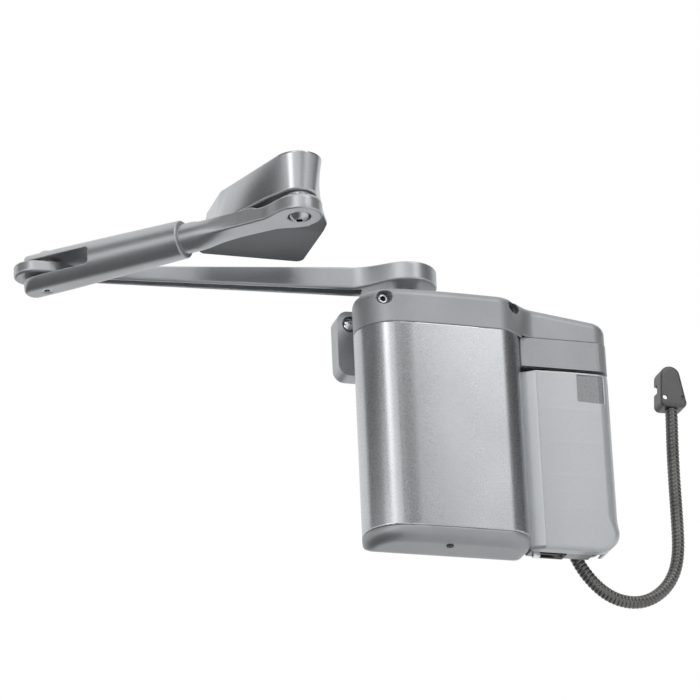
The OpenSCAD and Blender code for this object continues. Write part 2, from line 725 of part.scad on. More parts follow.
module battery_cover() {
  z_round = cover_bottom + cover_corner_r;
  levels = [0, 0.3, 1.2, 3, 6, 9, 13, 18, 25];
  function right_at(t) = t >= cover_corner_r ? side_right
    : side_right - cover_corner_r + sqrt(cover_corner_r * cover_corner_r
      - (cover_corner_r - t - 1.5) * (cover_corner_r - t - 1.5));
  color("#c9ccce") difference() {
    stack(concat(
      [for (t = levels) lift(outline(inset(side_c(right_at(t)), edge_inset(5, t)), side_n),
        cover_bottom + t)],
      [lift(outline(side_c(side_right), side_n), 47.2)]));
    stack(concat(
      [for (t = levels) lift(outline(inset(side_c(right_at(t)), wall + edge_inset(4, t)), side_n),
        cover_bottom + wall - 0.5 + t)],
      [lift(outline(inset(side_c(side_right), wall), side_n), 48.2)]));
    // open towards the door, on the side of the motor and over the sloping floor
    translate([30, -8, -140]) cube([95.6, 10, 200]);
    translate([30, -60, -140]) cube([30, 70, 200]);
    translate([30, -66.4, -140]) cube([95.6, 70, 14.8]);
    floor_cut(100, 40);
    // recess for the window
    translate([93, -battery_depth - eps, 18]) cube([60, 2.2, 27]);
  }
}

// smoked window strip set flush in the cover
module cover_window() {
  color("#6e7378") intersection() {
    translate([93.2, -battery_depth - eps, 18.2]) cube([60, 2.1, 26.6]);
    translate([0, 0, 10]) linear_extrude(40) polygon(outline(side_c(side_right), side_n));
  }
}

// small tab that locks the battery cover at its lower left corner
module cover_latch() {
  color("#cfd1d3") difference() {
    union() {
      translate([46.2, -64.4, -133.5]) cube([3, 2.8, 8]);
      translate([44.6, -66, -133.5]) cube([6.2, 6, 5.5]);
    }
    translate([44, -64, -132]) cube([8, 1.6, 2]);
  }
}

// two cells lie behind each other in the depth that the cover, the back panel and gaps leave
back_panel_y = -6.4;
cell_front = -battery_depth + wall + 2.4;
cell_gap = 0.4;
cell_pitch = (back_panel_y - 1 - cell_front + cell_gap / 2) / 2;
cell_r = (cell_pitch - cell_gap) / 2;
cell_x0 = 52;
cell_top = 41.9;
cell_rows = [for (k = [0:floor((cell_top + 92) / cell_pitch) - 1]) cell_top - cell_r - k * cell_pitch];
cell_cols = [cell_front + cell_r, cell_front + cell_r + cell_pitch];

module battery_cells() {
  color("#4a4f55") for (z = cell_rows, y = cell_cols) translate([0, y, z]) {
    bar_x(cell_r, cell_x0 + 0.6, cell_x0 + 61.4);
    bar_x(5, cell_x0 + 61.3, cell_x0 + 62.9);
  }
}

module cell_holder() {
  color("#33373b") {
    difference() {
      union() {
        holder_plate(cell_x0 - 4, 4, 9.5, -92, 43);
        holder_plate(cell_x0 + 63.5, 4, 6.5, -92, 43);
      }
      translate([0, 0, floor_t * 1.6]) floor_cut(40, 90);
    }
    holder_plate(43, cell_x0 - 46.9, 22.5, -80, 32);
    for (k = [0:len(cell_rows) - 2]) translate([0, cell_cols[0] + cell_pitch / 2, cell_rows[k] - cell_pitch / 2])
      bar_x(3.5, cell_x0 - 0.1, cell_x0 + 63.6);
  }
}

// upright plate from the back panel to a gap behind the cover's front
module holder_plate(x, t, gap, z0, z1) {
  translate([x, -battery_depth + gap, z0]) cube([t, back_panel_y + battery_depth - gap, z1 - z0]);
}

module cell_contacts() {
  color("#c9a95c") for (z = cell_rows, x = [cell_x0, cell_x0 + 62.9])
    translate([x, cell_cols[0] - 5.8, z - 4]) cube([0.6, cell_pitch + 11.8, 8]);
}

module switch_bezel() {
  color("#1f2124") difference() {
    union() {
      translate([switch_at[0] - 13, switch_at[1] - 6.5, -130]) cube([26, 13, 2]);
      translate([switch_at[0] - 11.2, switch_at[1] - 4.6, -129]) cube([22.4, 9.2, 19]);
    }
    translate([switch_at[0] - 11 + 0.2, switch_at[1] - 3.6, -131]) cube([21.6, 7.2, 14]);
    bar_y(rocker_pin_r + play, switch_at[0], -127.5, switch_at[1] - 5, switch_at[1] + 5);
  }
}

module rocker() {
  color("#2a2d30") translate([switch_at[0], switch_at[1], -127.5]) rotate([0, rocker_tilt, 0])
    translate([0, 3.3, 0]) rotate([90, 0, 0]) linear_extrude(6.6)
      polygon([[-rocker_len / 2 + 0.4, -2.4], [0, -1], [rocker_len / 2 - 0.4, -2.4],
        [rocker_len / 2 - 0.8, 0.5], [5, 5], [-5, 5], [-rocker_len / 2 + 0.8, 0.5]]);
  color("#2a2d30") bar_y(rocker_pin_r, switch_at[0], -127.5, switch_at[1] - 4.5, switch_at[1] + 4.5);
}

module main_arm() {
  e = arm_len;
  color("#8d9195") difference() {
    union() {
      at_pinion(0) rotate_extrude($fn = 64)
        polygon([[0, hub_bottom], [hub_r - 4, hub_bottom], [hub_r - 1.2, hub_bottom + 1.2],
          [hub_r, hub_bottom + 4], [hub_r, hub_top - 1.5], [hub_r - 1.5, hub_top], [0, hub_top]]);
      arm_frame() {
        hull() {
          translate([14, -12.5, -9]) cube([1, 25, 18]);
          translate([52, -10, -12]) cube([1, 20, 22.5]);
        }
        hull() {
          translate([52, -10, -12]) cube([1, 20, 22.5]);
          translate([e - 12, -6.5, -eye_t / 2]) cube([1, 13, eye_t]);
        }
        // the end reaches past the pin
        hull() for (x = [0, 13]) translate([e + x, 0, -eye_t / 2])
          cylinder(r = eye_r - 3, h = eye_t);
      }
    }
    // channel along the underside, closed at both ends
    arm_frame() hull() {
      translate([42, -6.5, -20]) cube([1, 13, 24]);
      translate([e - 36, -3.6, -20]) cube([1, 7.2, 21.5]);
    }
    at_pinion(120) translate([0, 0, 20]) cube([square_w, square_w, 80], center = true);
    at_pinion(hub_top - 1) cylinder(r = 13, h = 5);
    arm_frame() translate([e, 0, -20]) cylinder(r = elbow_pin_r + play, h = 40);
  }
}

module arm_screw() {
  color("#5a5e62") at_pinion(0) {
    translate([0, 0, 149]) difference() {
      cylinder(r = 12.7, h = 2.2);
      translate([0, 0, -eps]) cylinder(r = 4, h = 6);
    }
    translate([0, 0, 132]) cylinder(r = 4, h = 20);
    translate([0, 0, 151.2]) difference() {
      cylinder(r = 7, h = 5.5, $fn = 6);
      translate([0, 0, 5]) cylinder(r = 4.5, h = 2);
    }
  }
}

module elbow_pin() {
  color("#b9bcbf") forearm_frame() difference() {
    union() {
      translate([0, 0, -17.5]) cylinder(r = elbow_pin_r, h = 36);
      translate([0, 0, 18]) cylinder(r1 = 8, r2 = 6.5, h = 2.6);
    }
    translate([0, 0, -18.5]) cylinder(r = 3, h = 4);
  }
}

module elbow_washers() {
  color("#c9b37c") forearm_frame() for (z = [-fork_slot_h / 2, fork_slot_h / 2 - washer_t])
    translate([0, 0, z]) difference() {
      cylinder(r = 12, h = washer_t);
      translate([0, 0, -eps]) cylinder(r = elbow_pin_r + fit, h = washer_t + 2 * eps);
    }
}

module forearm_tube() {
  color("#a3a6aa") forearm_frame() difference() {
    intersection() {
      rotate([0, 90, 0]) translate([0, 0, -25]) rotate_extrude($fn = 72)
        polygon([[0, 0], [fork_r, 0], [fork_r, 45], [mouth_r, mouth_x + 22], [mouth_r - 1, mouth_x + 25],
          [0, mouth_x + 25]]);
      union() {
        translate([0, 0, -30]) cylinder(r = eye_r + 0.5, h = 60);
        translate([0, -25, -30]) cube([mouth_x + 2, 50, 60]);
      }
      translate([-30, -30, -18]) cube([mouth_x + 40, 60, 36]);
    }
    // fork slot with rounded end corners
    translate([-30, -30, -fork_slot_h / 2]) cube([fork_slot_x + 26, 60, fork_slot_h]);
    translate([fork_slot_x - 4.1, 30, 0]) rotate([90, 0, 0]) linear_extrude(60) {
      translate([0, -fork_slot_h / 2 + 4]) square([4.1, fork_slot_h - 8]);
      for (z = [-1, 1]) translate([0, z * (fork_slot_h / 2 - 4)]) circle(r = 4);
    }
    translate([0, 0, -30]) cylinder(r = elbow_pin_r, h = 60);
    bar_x(rod_r + play, 58, mouth_x + 5);
    translate([120, 0, 0]) cylinder(r = 3, h = 30);
  }
}

module rod_screw() {
  color("#2e3134") forearm_frame() translate([120, 0, rod_r + play]) difference() {
    cylinder(r = 3, h = 3.6);
    translate([0, 0, 1.6]) cylinder(r = 1.6, h = 4);
  }
}

module forearm_rod() {
  e = forearm_len;
  h = rod_flat_t;
  plane_x = e - 98;
  color("#8a8e92") forearm_frame() difference() {
    union() {
      bar_x(rod_r, rod_in, 166);
      hull() {
        bar_x(rod_r, 165, 166);
        translate([206, -12, -h / 2]) cube([1, 24, h + 3]);
      }
      hull() {
        translate([206, -12, -h / 2]) cube([1, 24, h + 3]);
        translate([e - 6, -15, -h / 2]) cube([1, 30, h]);
      }
      translate([e, 0, -h / 2]) cylinder(r = eye_r, h = h);
    }
    translate([e, 0, -h / 2 - eps]) cylinder(r = head_r + 1, h = 5 + eps);
    translate([e, 0, -20]) cylinder(r = elbow_pin_r + play, h = 40);
    translate([e - 40, -30, h / 2]) cube([80, 60, 20]);
    // the top is planed where it passes under the shoe
    translate([plane_x, -30, h / 2 + shoe_gap - 2 * fit]) {
      cube([80, 60, 20]);
      rotate([0, 22, 0]) translate([-40, 0, 0]) cube([40.5, 60, 20]);
    }
  }
  // boss that keeps the shoe clear of the rod
  color("#8a8e92") forearm_frame() translate([e, 0, h / 2 - 0.5]) difference() {
    cylinder(r = 10, h = shoe_gap - fit + 0.5);
    translate([0, 0, -eps]) cylinder(r = elbow_pin_r + play, h = 20);
  }
}

module shoe() {
  top_w = shoe_w - 17;
  color("#8b8f94") difference() {
    // lower and upper plan; the base widens and the nose narrows downwards
    hull() for (s = [0, 1]) translate([0, 0, shoe_z + s * (shoe_h - 3)]) {
      half = s == 1 ? top_w / 2 : shoe_w / 2;
      translate([pivot_x, pivot_y + 4 * (1 - s), 0]) cylinder(r = 17 + 5 * s, h = 3);
      translate([shoe_x - half + 20, shoe_base_y - 67 + 16 * s, 0]) cylinder(r = 20, h = 3);
      translate([shoe_x + half - 14, shoe_base_y - 82 + 17 * s, 0]) cylinder(r = 14, h = 3);
      for (x = [-1, 1]) translate([shoe_x + x * (half - 7.5), shoe_base_y - 7.5, 0])
        cylinder(r = 7.5, h = 3);
    }
    // pocket open at the top
    hull() {
      translate([pivot_x, pivot_y + 26, shoe_z + 5.5]) cylinder(r = 9, h = shoe_h);
      for (x = [-1, 1]) {
        translate([shoe_x + x * (top_w / 2 - 20), shoe_base_y - 50, shoe_z + 5.5])
          cylinder(r = 12, h = shoe_h);
        translate([shoe_x + x * (top_w / 2 - 10), shoe_base_y - 11, shoe_z + 5.5])
          cylinder(r = 4, h = shoe_h);
      }
    }
    translate([pivot_x, pivot_y, shoe_z - eps]) cylinder(r = elbow_pin_r, h = 19 + eps);
    for (x = [-1, 1], z = [-1, 1])
      bar_y(shoe_hole_r, shoe_x + x * shoe_span_x / 2, shoe_z + 23.2 + z * shoe_span_z / 2,
        shoe_base_y - 12, shoe_base_y + eps);
  }
}

module shoe_screw() {
  color("#c4c7ca") translate([pivot_x, pivot_y, arm_z - rod_flat_t / 2]) difference() {
    union() {
      translate([0, 0, 2.2]) cylinder(r = head_r, h = 2.8);
      intersection() {
        translate([0, 0, 20]) sphere(r = 20);
        translate([0, 0, -4]) cylinder(r = head_r, h = 6.4);
      }
      cylinder(r = elbow_pin_r, h = rod_flat_t + 0.5 + 18);
    }
    translate([0, 0, -2]) cylinder(r = 3.6, h = 5.4, $fn = 6);
  }
}

module loop_gland() {
  color("#54585b") difference() {
    bar_on_exit(7.7, -7, 5);
    bar_on_exit(loop_r, -9, 12);
  }
}

module armoured_loop() {
  color("#4b4a47") tube_along(loop_path, loop_r, 12);
}

module loop_end_cap() {
  color("#55575a") difference() {
    end_shape(0, -20);
    end_shape(2.2, -17.8);
    translate([end_x - 30, -8, 63]) cube([20, 9, 9]);
    translate([end_x, -11, 40]) cylinder(r = loop_r, h = 9);
    for (s = [-1, 1]) bar_y(end_hole_r, end_x + s * end_span / 2, end_hole_z, -25, 2);
  }
}
// bell outline of the end cap, inset by d, from the depth y to the frame face
module end_shape(d, y) {
  translate([0, d > 0 ? eps : 0, 0]) rotate([90, 0, 0]) linear_extrude(-y + (d > 0 ? eps : 0)) hull() {
    translate([end_x - 1.5, 78]) circle(r = 10 - d);
    for (s = [-1, 1]) translate([end_x + s * 8.5, 51]) circle(r = 5 - d);
  }
}

closer_body();
back_plate();
pinion_shaft();
pinion_bearings();
pinion_collar();
rack_piston();
closer_spring();
end_plugs();
valve_screws();
gearbox_plates();
output_gear();
idler_gear();
motor_pinion();
motor();
motor_screws();
circuit_board();
board_parts();
top_cap();
front_cover();
bottom_cap();
cap_screws();
bottom_screw();
ear_screws();
battery_housing();
battery_cover();
cover_window();
cover_latch();
battery_cells();
cell_holder();
cell_contacts();
switch_bezel();
rocker();
main_arm();
arm_screw();
elbow_pin();
elbow_washers();
forearm_tube();
rod_screw();
forearm_rod();
shoe();
shoe_screw();
loop_gland();
armoured_loop();
loop_end_cap();
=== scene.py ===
# %% [markdown]
# # A low energy door operator, dressed for its picture
# The machine hangs at the top of a door: a closer body under a painted cap, a tall front cover, a
# battery bay beside it, a two-part swing arm and an armoured loop for the cable to the frame. The
# CAD model fixes every place and size. This script gives each piece that shows its true surface
# and its finish, and lights it like a product on a studio table.

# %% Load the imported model
import functools
import math

import bpy
import numpy as np
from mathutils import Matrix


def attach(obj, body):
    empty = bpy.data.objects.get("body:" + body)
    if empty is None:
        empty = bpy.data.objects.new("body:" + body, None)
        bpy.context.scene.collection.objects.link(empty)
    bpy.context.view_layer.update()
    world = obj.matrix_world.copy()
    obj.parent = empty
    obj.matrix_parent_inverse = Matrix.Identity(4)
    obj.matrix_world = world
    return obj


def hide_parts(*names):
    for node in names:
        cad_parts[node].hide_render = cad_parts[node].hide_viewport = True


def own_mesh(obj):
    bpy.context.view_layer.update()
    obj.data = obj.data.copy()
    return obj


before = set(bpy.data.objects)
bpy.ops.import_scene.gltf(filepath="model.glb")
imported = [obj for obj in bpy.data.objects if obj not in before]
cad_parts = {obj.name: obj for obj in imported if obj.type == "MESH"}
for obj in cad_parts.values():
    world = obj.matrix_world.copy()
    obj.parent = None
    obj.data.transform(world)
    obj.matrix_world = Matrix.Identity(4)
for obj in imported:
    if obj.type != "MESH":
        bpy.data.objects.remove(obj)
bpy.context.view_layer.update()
MM = 0.001

# %% [markdown]
# ## Camera
# The picture was taken from below and from the left with a long lens, so upright edges stay
# almost parallel. The camera is placed by its turn, its climb and a slight roll, and the lens
# follows from the size of the covers in the picture.

# %% Camera
TURN, CLIMB, ROLL = (math.radians(a) for a in (17.8, 22.5, 2.5))
EYE = np.array((-1169.3, -3321.3, -1358.4)) * MM
FOCAL_PX, FRAME_PX, SENSOR_MM = 4000.0, 700.0, 36.0


def camera_axes():
    """Right, up and back of the camera: the level right turned about the view line by the roll,
    as the columns of a matrix."""
    ahead = np.array((math.sin(TURN) * math.cos(CLIMB), math.cos(TURN) * math.cos(CLIMB),
                      math.sin(CLIMB)))
    right = np.array((math.cos(TURN), -math.sin(TURN), 0.0))
    up = np.cross(right, ahead)
    return np.stack((right * math.cos(ROLL) - up * math.sin(ROLL),
                     up * math.cos(ROLL) + right * math.sin(ROLL), -ahead), axis=1)


def place_camera():
    lens = bpy.data.cameras.new("photo_camera")
    lens.sensor_width = SENSOR_MM
    lens.lens = SENSOR_MM * FOCAL_PX / FRAME_PX
    lens.clip_end = 50.0
    camera = bpy.data.objects.new("photo_camera", lens)
    bpy.context.scene.collection.objects.link(camera)
    pose = np.eye(4)
    pose[:3, :3] = camera_axes()
    pose[:3, 3] = EYE
    camera.matrix_world = pose.T
    bpy.context.scene.camera = camera
    return camera


camera = place_camera()
print("lens", round(camera.data.lens, 1), "mm")

# %% [markdown]
# ## How a numpy surface becomes a piece
# Every new piece ends up here: points in millimetres, faces as rows of indices and, where the
# surface is known by a formula, its exact normals. The object stays at the origin and its place is
# in its mesh, as it is for the CAD nodes.

# %% Mesh from arrays


def make_piece(name, points, faces, normals=None, angle=None):
    """Object whose mesh has these points (mm) and faces, an array of corner rows or a list of such
    arrays. It is smooth by its normals, or by its faces up to an angle in degrees."""
    mesh = bpy.data.meshes.new(name)
    points = np.asarray(points, float) * MM
    groups = [np.asarray(f, np.int32) for f in (faces if isinstance(faces, list) else [faces])]
    corners = np.concatenate([f.ravel() for f in groups])
    sizes = np.concatenate([np.full(len(f), f.shape[1], np.int32) for f in groups])
    mesh.vertices.add(len(points))
    mesh.vertices.foreach_set("co", points.astype(np.float32).ravel())
    mesh.loops.add(len(corners))
    mesh.loops.foreach_set("vertex_index", corners)
    mesh.polygons.add(len(sizes))
    mesh.polygons.foreach_set("loop_start", (np.cumsum(sizes) - sizes).astype(np.int32))
    mesh.polygons.foreach_set("use_smooth", np.ones(len(sizes), bool))
    mesh.update(calc_edges=True)
    if normals is not None:
        mesh.normals_split_custom_set_from_vertices(np.asarray(normals, np.float32))
    elif angle is not None:
        mesh.set_sharp_from_angle(angle=math.radians(angle))
    piece = bpy.data.objects.new(name, mesh)
    bpy.context.scene.collection.objects.link(piece)
    print(f"{name}: {len(points)} points, {len(sizes)} faces")
    return piece


def tube_faces(rows, cols):
    """Quads of a grid whose point (r, c) has index r * cols + c and whose rows are rings."""
    r, c = np.arange(rows - 1)[:, None] * cols, np.arange(cols)[None, :]
    c2 = (c + 1) % cols
    quads = np.stack((r + c, r + c2, r + cols + c2, r + cols + c), axis=-1)
    return quads.reshape(-1, 4)


# %% [markdown]
# ## The armoured loop
# The cable to the frame runs in a tube of interlocked metal strip, so its skin is a chain of low
# rings with a shallow groove between them. It is a tube whose radius rises and falls with the
# distance along the route, and each ring leans a little because the strip is wound as a helix.

# %% Route of the loop, in millimetres, from the operator to the end cap
LOOP_ROUTE = np.array((
    (93.5, -35, -106), (95, -34.4, -111), (96.5, -34, -116), (98.6, -33.6, -121.2),
    (101.5, -33.1, -126.5), (105.5, -32.4, -132.3), (110.5, -31.4, -138.2),
    (116.8, -30.2, -144.2), (124.4, -28.6, -149.6), (133.2, -26.6, -153.8),
    (143.5, -24.5, -156.4), (154.5, -22.6, -157), (165.5, -21, -155.4),
    (175.8, -19.6, -151.4), (185, -18.2, -145.4), (193, -17, -137.8),
    (199.6, -15.8, -128.8), (204.6, -14.8, -118.6), (208, -13.8, -107.2),
    (210, -13, -95), (211, -12.4, -80), (211.5, -11.8, -62), (211.8, -11.4, -44),
    (212, -11.2, -26), (212.4, -11.1, -8), (213, -11, 10), (213.8, -11, 28),
    (214.4, -11, 44), (214.7, -11, 52)))
LOOP_R, LOOP_PITCH = 6.0, 3.9
GROOVE_DEPTH, END_STEP, STEPS_PER_RING = 0.75, 0.4, 10
# the sine is cut off at 1, which makes the ring flat on top, and bent by a power
RING_GAIN, RING_POWER = 1.35, 0.8


def smooth_route(knots, spacing):
    """Points every spacing along a cubic through the knots, and tangents there. The pieces are
    Hermite cubics whose slopes are central differences."""
    chord = np.concatenate(([0], np.cumsum(np.linalg.norm(np.diff(knots, axis=0), axis=1))))
    slope = np.gradient(knots, chord, axis=0)
    fine = np.linspace(0, chord[-1], int(chord[-1] / spacing) + 1)
    k = np.clip(np.searchsorted(chord, fine, side="right") - 1, 0, len(knots) - 2)
    h = (chord[k + 1] - chord[k])[:, None]
    t = ((fine - chord[k]) / h[:, 0])[:, None]
    a, b, c, d = knots[k], knots[k + 1], slope[k] * h, slope[k + 1] * h
    place = (2 * t**3 - 3 * t**2 + 1) * a + (t**3 - 2 * t**2 + t) * c \
        + (3 * t**2 - 2 * t**3) * b + (t**3 - t**2) * d
    tangent = np.gradient(place, axis=0)
    return place, tangent / np.linalg.norm(tangent, axis=1)[:, None]


def armour_tube(route, radius, pitch, around):
    """Tube along a route, and its length. The radius is lowered between flat-topped rings that
    repeat every pitch and lean by one pitch per turn."""
    place, ahead = smooth_route(route, pitch / STEPS_PER_RING)
    out = np.cross(ahead, (0.0, 1.0, 0.0))
    out /= np.linalg.norm(out, axis=1)[:, None]
    side = np.cross(ahead, out)
    run = np.concatenate(([0], np.cumsum(np.linalg.norm(np.diff(place, axis=0), axis=1))))
    turn = np.arange(around) / around
    phase = np.mod(run[:, None] / pitch - turn[None, :], 1.0)
    ridge = np.clip(RING_GAIN * np.sin(np.pi * phase), 0, 1) ** RING_POWER
    grow = radius - GROOVE_DEPTH * (1 - ridge)
    grow[[0, -1]] = radius - END_STEP
    angle = 2 * np.pi * turn[None, :, None]
    ring = np.cos(angle) * out[:, None] + np.sin(angle) * side[:, None]
    points = (place[:, None] + grow[..., None] * ring).reshape(-1, 3)
    sides = tube_faces(len(place), around)
    last, c = (len(place) - 1) * around, np.arange(around)
    c2 = (c + 1) % around
    ends = np.concatenate((
        np.stack((np.full(around, len(points)), c2, c), 1),
        np.stack((np.full(around, len(points) + 1), last + c, last + c2), 1)))
    return np.concatenate((points, place[[0, -1]])), [sides, ends], run[-1]


loop_points, loop_faces, loop_length = armour_tube(LOOP_ROUTE, LOOP_R, LOOP_PITCH, 36)
loop = make_piece("door_loop_armour", loop_points, loop_faces)
print("loop length", round(loop_length, 1), "mm")

# %% [markdown]
# ## Surfaces from a distance
# The castings and mouldings blend into each other with soft fillets. Such a form is easiest to
# say as a distance: a function of x, y and z, worked out for a whole block of points at once, that
# is negative inside the piece, zero on its skin and positive outside. Two forms join with a
# fillet, or cut each other with a rounded edge, by one formula each. The skin is read from the
# block where the sign changes, then every point slides along the slope of the distance until it
# lies on the skin.

# %% Joins and cuts of distances


def both(a, b, r=0.0):
    """Inside a and b, the edge rounded by r: the corner of the two offset planes is a circle."""
    outer = np.hypot(np.maximum(a + r, 0), np.maximum(b + r, 0))
    return outer + np.minimum(np.maximum(a, b), -r)


def either(a, b, r=0.0):
    """Inside a or b, with a fillet of radius r where they meet."""
    return -both(-a, -b, r)


def without(a, b, r=0.0):
    """Inside a but not b, the new edge rounded by r."""
    return both(a, -b, r)


def largest(distances):
    """Inside all of them, with sharp edges."""
    return functools.reduce(np.maximum, distances)


def slab(v, lo, hi):
    """Distance to the layer between lo and hi."""
    return np.abs(v - (lo + hi) / 2) - (hi - lo) / 2


def block(x, y, z, lo, hi, r=0.0):
    """Distance to a box with edges rounded by r."""
    q = [slab(v, l, h) + r for v, l, h in zip((x, y, z), lo, hi)]
    inner = np.minimum(largest(q), 0)
    return np.sqrt(sum(np.maximum(v, 0) ** 2 for v in q)) + inner - r


def plan(x, y, corners):
    """Distance to a convex outline with a radius at each corner [x, y, r], counter-clockwise: the
    largest of the edge distances, and in a corner's sector the distance to its circle, unless
    another edge is further away."""
    c = np.array(corners, float)
    edge = np.roll(c[:, :2], -1, axis=0) - c[:, :2]
    edge /= np.linalg.norm(edge, axis=1)[:, None]
    out = np.stack((edge[:, 1], -edge[:, 0]), axis=1)
    sides = [(x - at[0]) * n[0] + (y - at[1]) * n[1] for at, n in zip(c, out)]
    dist = largest(sides)
    for i, (cx, cy, r) in enumerate(c):
        before, after = out[i - 1], out[i]
        mid = np.array((cx, cy)) - r * (before + after) / (1 + before @ after)
        px, py = x - mid[0], y - mid[1]
        sector = (before[0] * py - before[1] * px >= 0) & (px * after[1] - py * after[0] >= 0)
        others = largest([s for k, s in enumerate(sides) if k not in (i, (i - 1) % len(c))])
        dist = np.where(sector, np.maximum(np.hypot(px, py) - r, others), dist)
    return dist


# %% Skin of a distance
MARGIN_STEPS, PROBE_STEPS, SLIDES = 1.6, 0.12, 4


def cut_axis(axis, lo, hi):
    """Index that takes lo:hi along one of three axes and all of the others."""
    return tuple(slice(lo, hi) if k == axis else slice(None) for k in range(3))


def crossings(v, origin, step):
    """Surface nets, first half: the mean of the points where the edges of a cell cross zero, and
    which cells have any."""
    cells = tuple(n - 1 for n in v.shape)
    total, hits = np.zeros(cells + (3,)), np.zeros(cells)
    grids = [origin[k] + step * np.arange(v.shape[k]) for k in range(3)]
    for axis in range(3):
        a, b = v[cut_axis(axis, None, -1)], v[cut_axis(axis, 1, None)]
        cut = (a < 0) != (b < 0)
        t = np.where(cut, a / np.where(cut, a - b, 1), 0)
        place = [g.reshape([-1 if k == m else 1 for m in range(3)]) for k, g in enumerate(grids)]
        place[axis] = place[axis][cut_axis(axis, None, -1)] + t * step
        others = [k for k in range(3) if k != axis]
        for shift in ((0, 0), (0, 1), (1, 0), (1, 1)):
            pick = [slice(None)] * 3
            for k, s in zip(others, shift):
                pick[k] = slice(s, s + cells[k])
            pick = tuple(pick)
            hits += cut[pick]
            for k in range(3):
                total[..., k] += np.where(cut, place[k], 0)[pick]
    return total / np.maximum(hits, 1)[..., None], hits > 0


def skin(name, distance, lo, hi, step):
    """Piece whose surface is where distance(x, y, z) is zero, between lo and hi (mm). Second half
    of surface nets: a quad joins the four cells around each grid edge that crosses zero."""
    margin = MARGIN_STEPS * step
    lo, hi = np.array(lo, float) - margin, np.array(hi, float) + margin
    size = np.ceil((hi - lo) / step).astype(int) + 1
    x, y, z = (lo[k] + step * np.arange(size[k]) for k in range(3))
    v = distance(x[:, None, None], y[None, :, None], z[None, None, :])
    v = np.broadcast_to(v, size).copy()
    place, active = crossings(v, lo, step)
    number = np.full(active.shape, -1)
    number[active] = np.arange(active.sum())
    points = place[active]
    faces = []
    for axis in range(3):
        a, b = v[cut_axis(axis, None, -1)], v[cut_axis(axis, 1, None)]
        cut = np.argwhere((a < 0) != (b < 0))
        p, q = (axis + 1) % 3, (axis + 2) % 3
        cut = cut[(cut[:, p] > 0) & (cut[:, q] > 0)]
        corner = []
        for dp, dq in ((1, 1), (0, 1), (0, 0), (1, 0)):
            c = cut.copy()
            c[:, p] -= dp
            c[:, q] -= dq
            corner.append(number[c[:, 0], c[:, 1], c[:, 2]])
        quad = np.stack(corner, axis=1)
        inside = (a < 0)[cut[:, 0], cut[:, 1], cut[:, 2]]
        faces.append(np.where(inside[:, None], quad, quad[:, ::-1]))
    for _ in range(SLIDES):
        value, slope = value_and_slope(distance, points, step)
        move = value / np.maximum((slope**2).sum(1), 0.25)
        points = points - slope * np.clip(move, -0.5 * step, 0.5 * step)[:, None]
    slope = value_and_slope(distance, points, step)[1]
    normals = slope / np.maximum(np.linalg.norm(slope, axis=1), 1e-9)[:, None]
    return make_piece(name, points, np.concatenate(faces), normals)


def value_and_slope(distance, points, step):
    """The distance at each point and its gradient by central differences."""
    h = PROBE_STEPS * step
    pairs = [(distance(*(points + h * axis).T), distance(*(points - h * axis).T))
             for axis in np.eye(3)]
    return distance(*points.T), np.stack([(a - b) / (2 * h) for a, b in pairs], axis=1)


# %% [markdown]
# ## The covers
# All covers share two outlines seen from above: the large body over the gears, with its wide left
# corner, and the battery bay. Places and sizes are the CAD model's; some corners and edges have
# radii of their own, read from the picture.

# %% Outlines of the covers
WALL = 2.5
SEAM_TOP, SEAM_BOTTOM = 76.0, -123.5
CAP_TOP, CAP_EDGE_R, CAP_BOTTOM = 111.5, 9.0, -137.0
DEPTH, SIDE_RIGHT = 78.5, 128.5
FRONT = [[-130.7, -92.5, 35], [-80, -101.2, 110], [-42, -102.4, 1000], [37.5, -100.2, 27],
         [37.5, -2, 0.5], [-97.7, -2, 0.5]]
STEP = [[30, -DEPTH, 1], [SIDE_RIGHT, -DEPTH, 16], [SIDE_RIGHT, -2, 0.5], [30, -2, 0.5]]
PINION = (-59.0, -44.0)
# the ear fills the space left of NOTCH_X and behind NOTCH_Y
NOTCH_X, NOTCH_Y = -87.0, -20.6

# %% [markdown]
# The cap is the hardest piece. Its lower step runs into the large body through a hollow valley,
# and its top falls towards the right end. In plan the two outlines join with a fillet of the
# valley's radius, and that joined outline is cut by the sloping top with one rounded edge, so the
# edge follows the valley too. Two pockets for the cap screws are bored into the front, each in a
# boss that fills the hollow behind it.

# %% Top cap
VALLEY_R, STEP_BOTTOM, STEP_LEFT, TOP_SLOPE = 17, 79.5, 43, 0.13
SHAFT_HOLE_R, CAP_HOLE_R, SCREW_R = 16.5, 2.8, 2.9
POCKETS = (
    {"at": (-98, 101), "r": 6.8, "seat": -87, "boss_r": 9.5, "boss": -84, "hole": -80,
     "screw_end": -65},
    {"at": (30, 103.6), "r": 7, "seat": -71, "boss_r": 9.4, "boss": -66, "hole": -55,
     "screw_end": -59})


def cap_shell(x, y, z, inset):
    """The cap's outer form, moved inwards by inset."""
    joined = either(plan(x, y, FRONT) + inset, plan(x, y, STEP) + inset, VALLEY_R + inset)
    joined = both(joined, y + 2 + inset, 0.5)
    top = z - (CAP_TOP - inset) + TOP_SLOPE * np.maximum(x - STEP_LEFT, 0)
    return both(joined, top, CAP_EDGE_R - 0.6 * inset)


def bore_y(x, z, at, r):
    """Distance to an endless round hole into the door."""
    return np.hypot(x - at[0], z - at[1]) - r


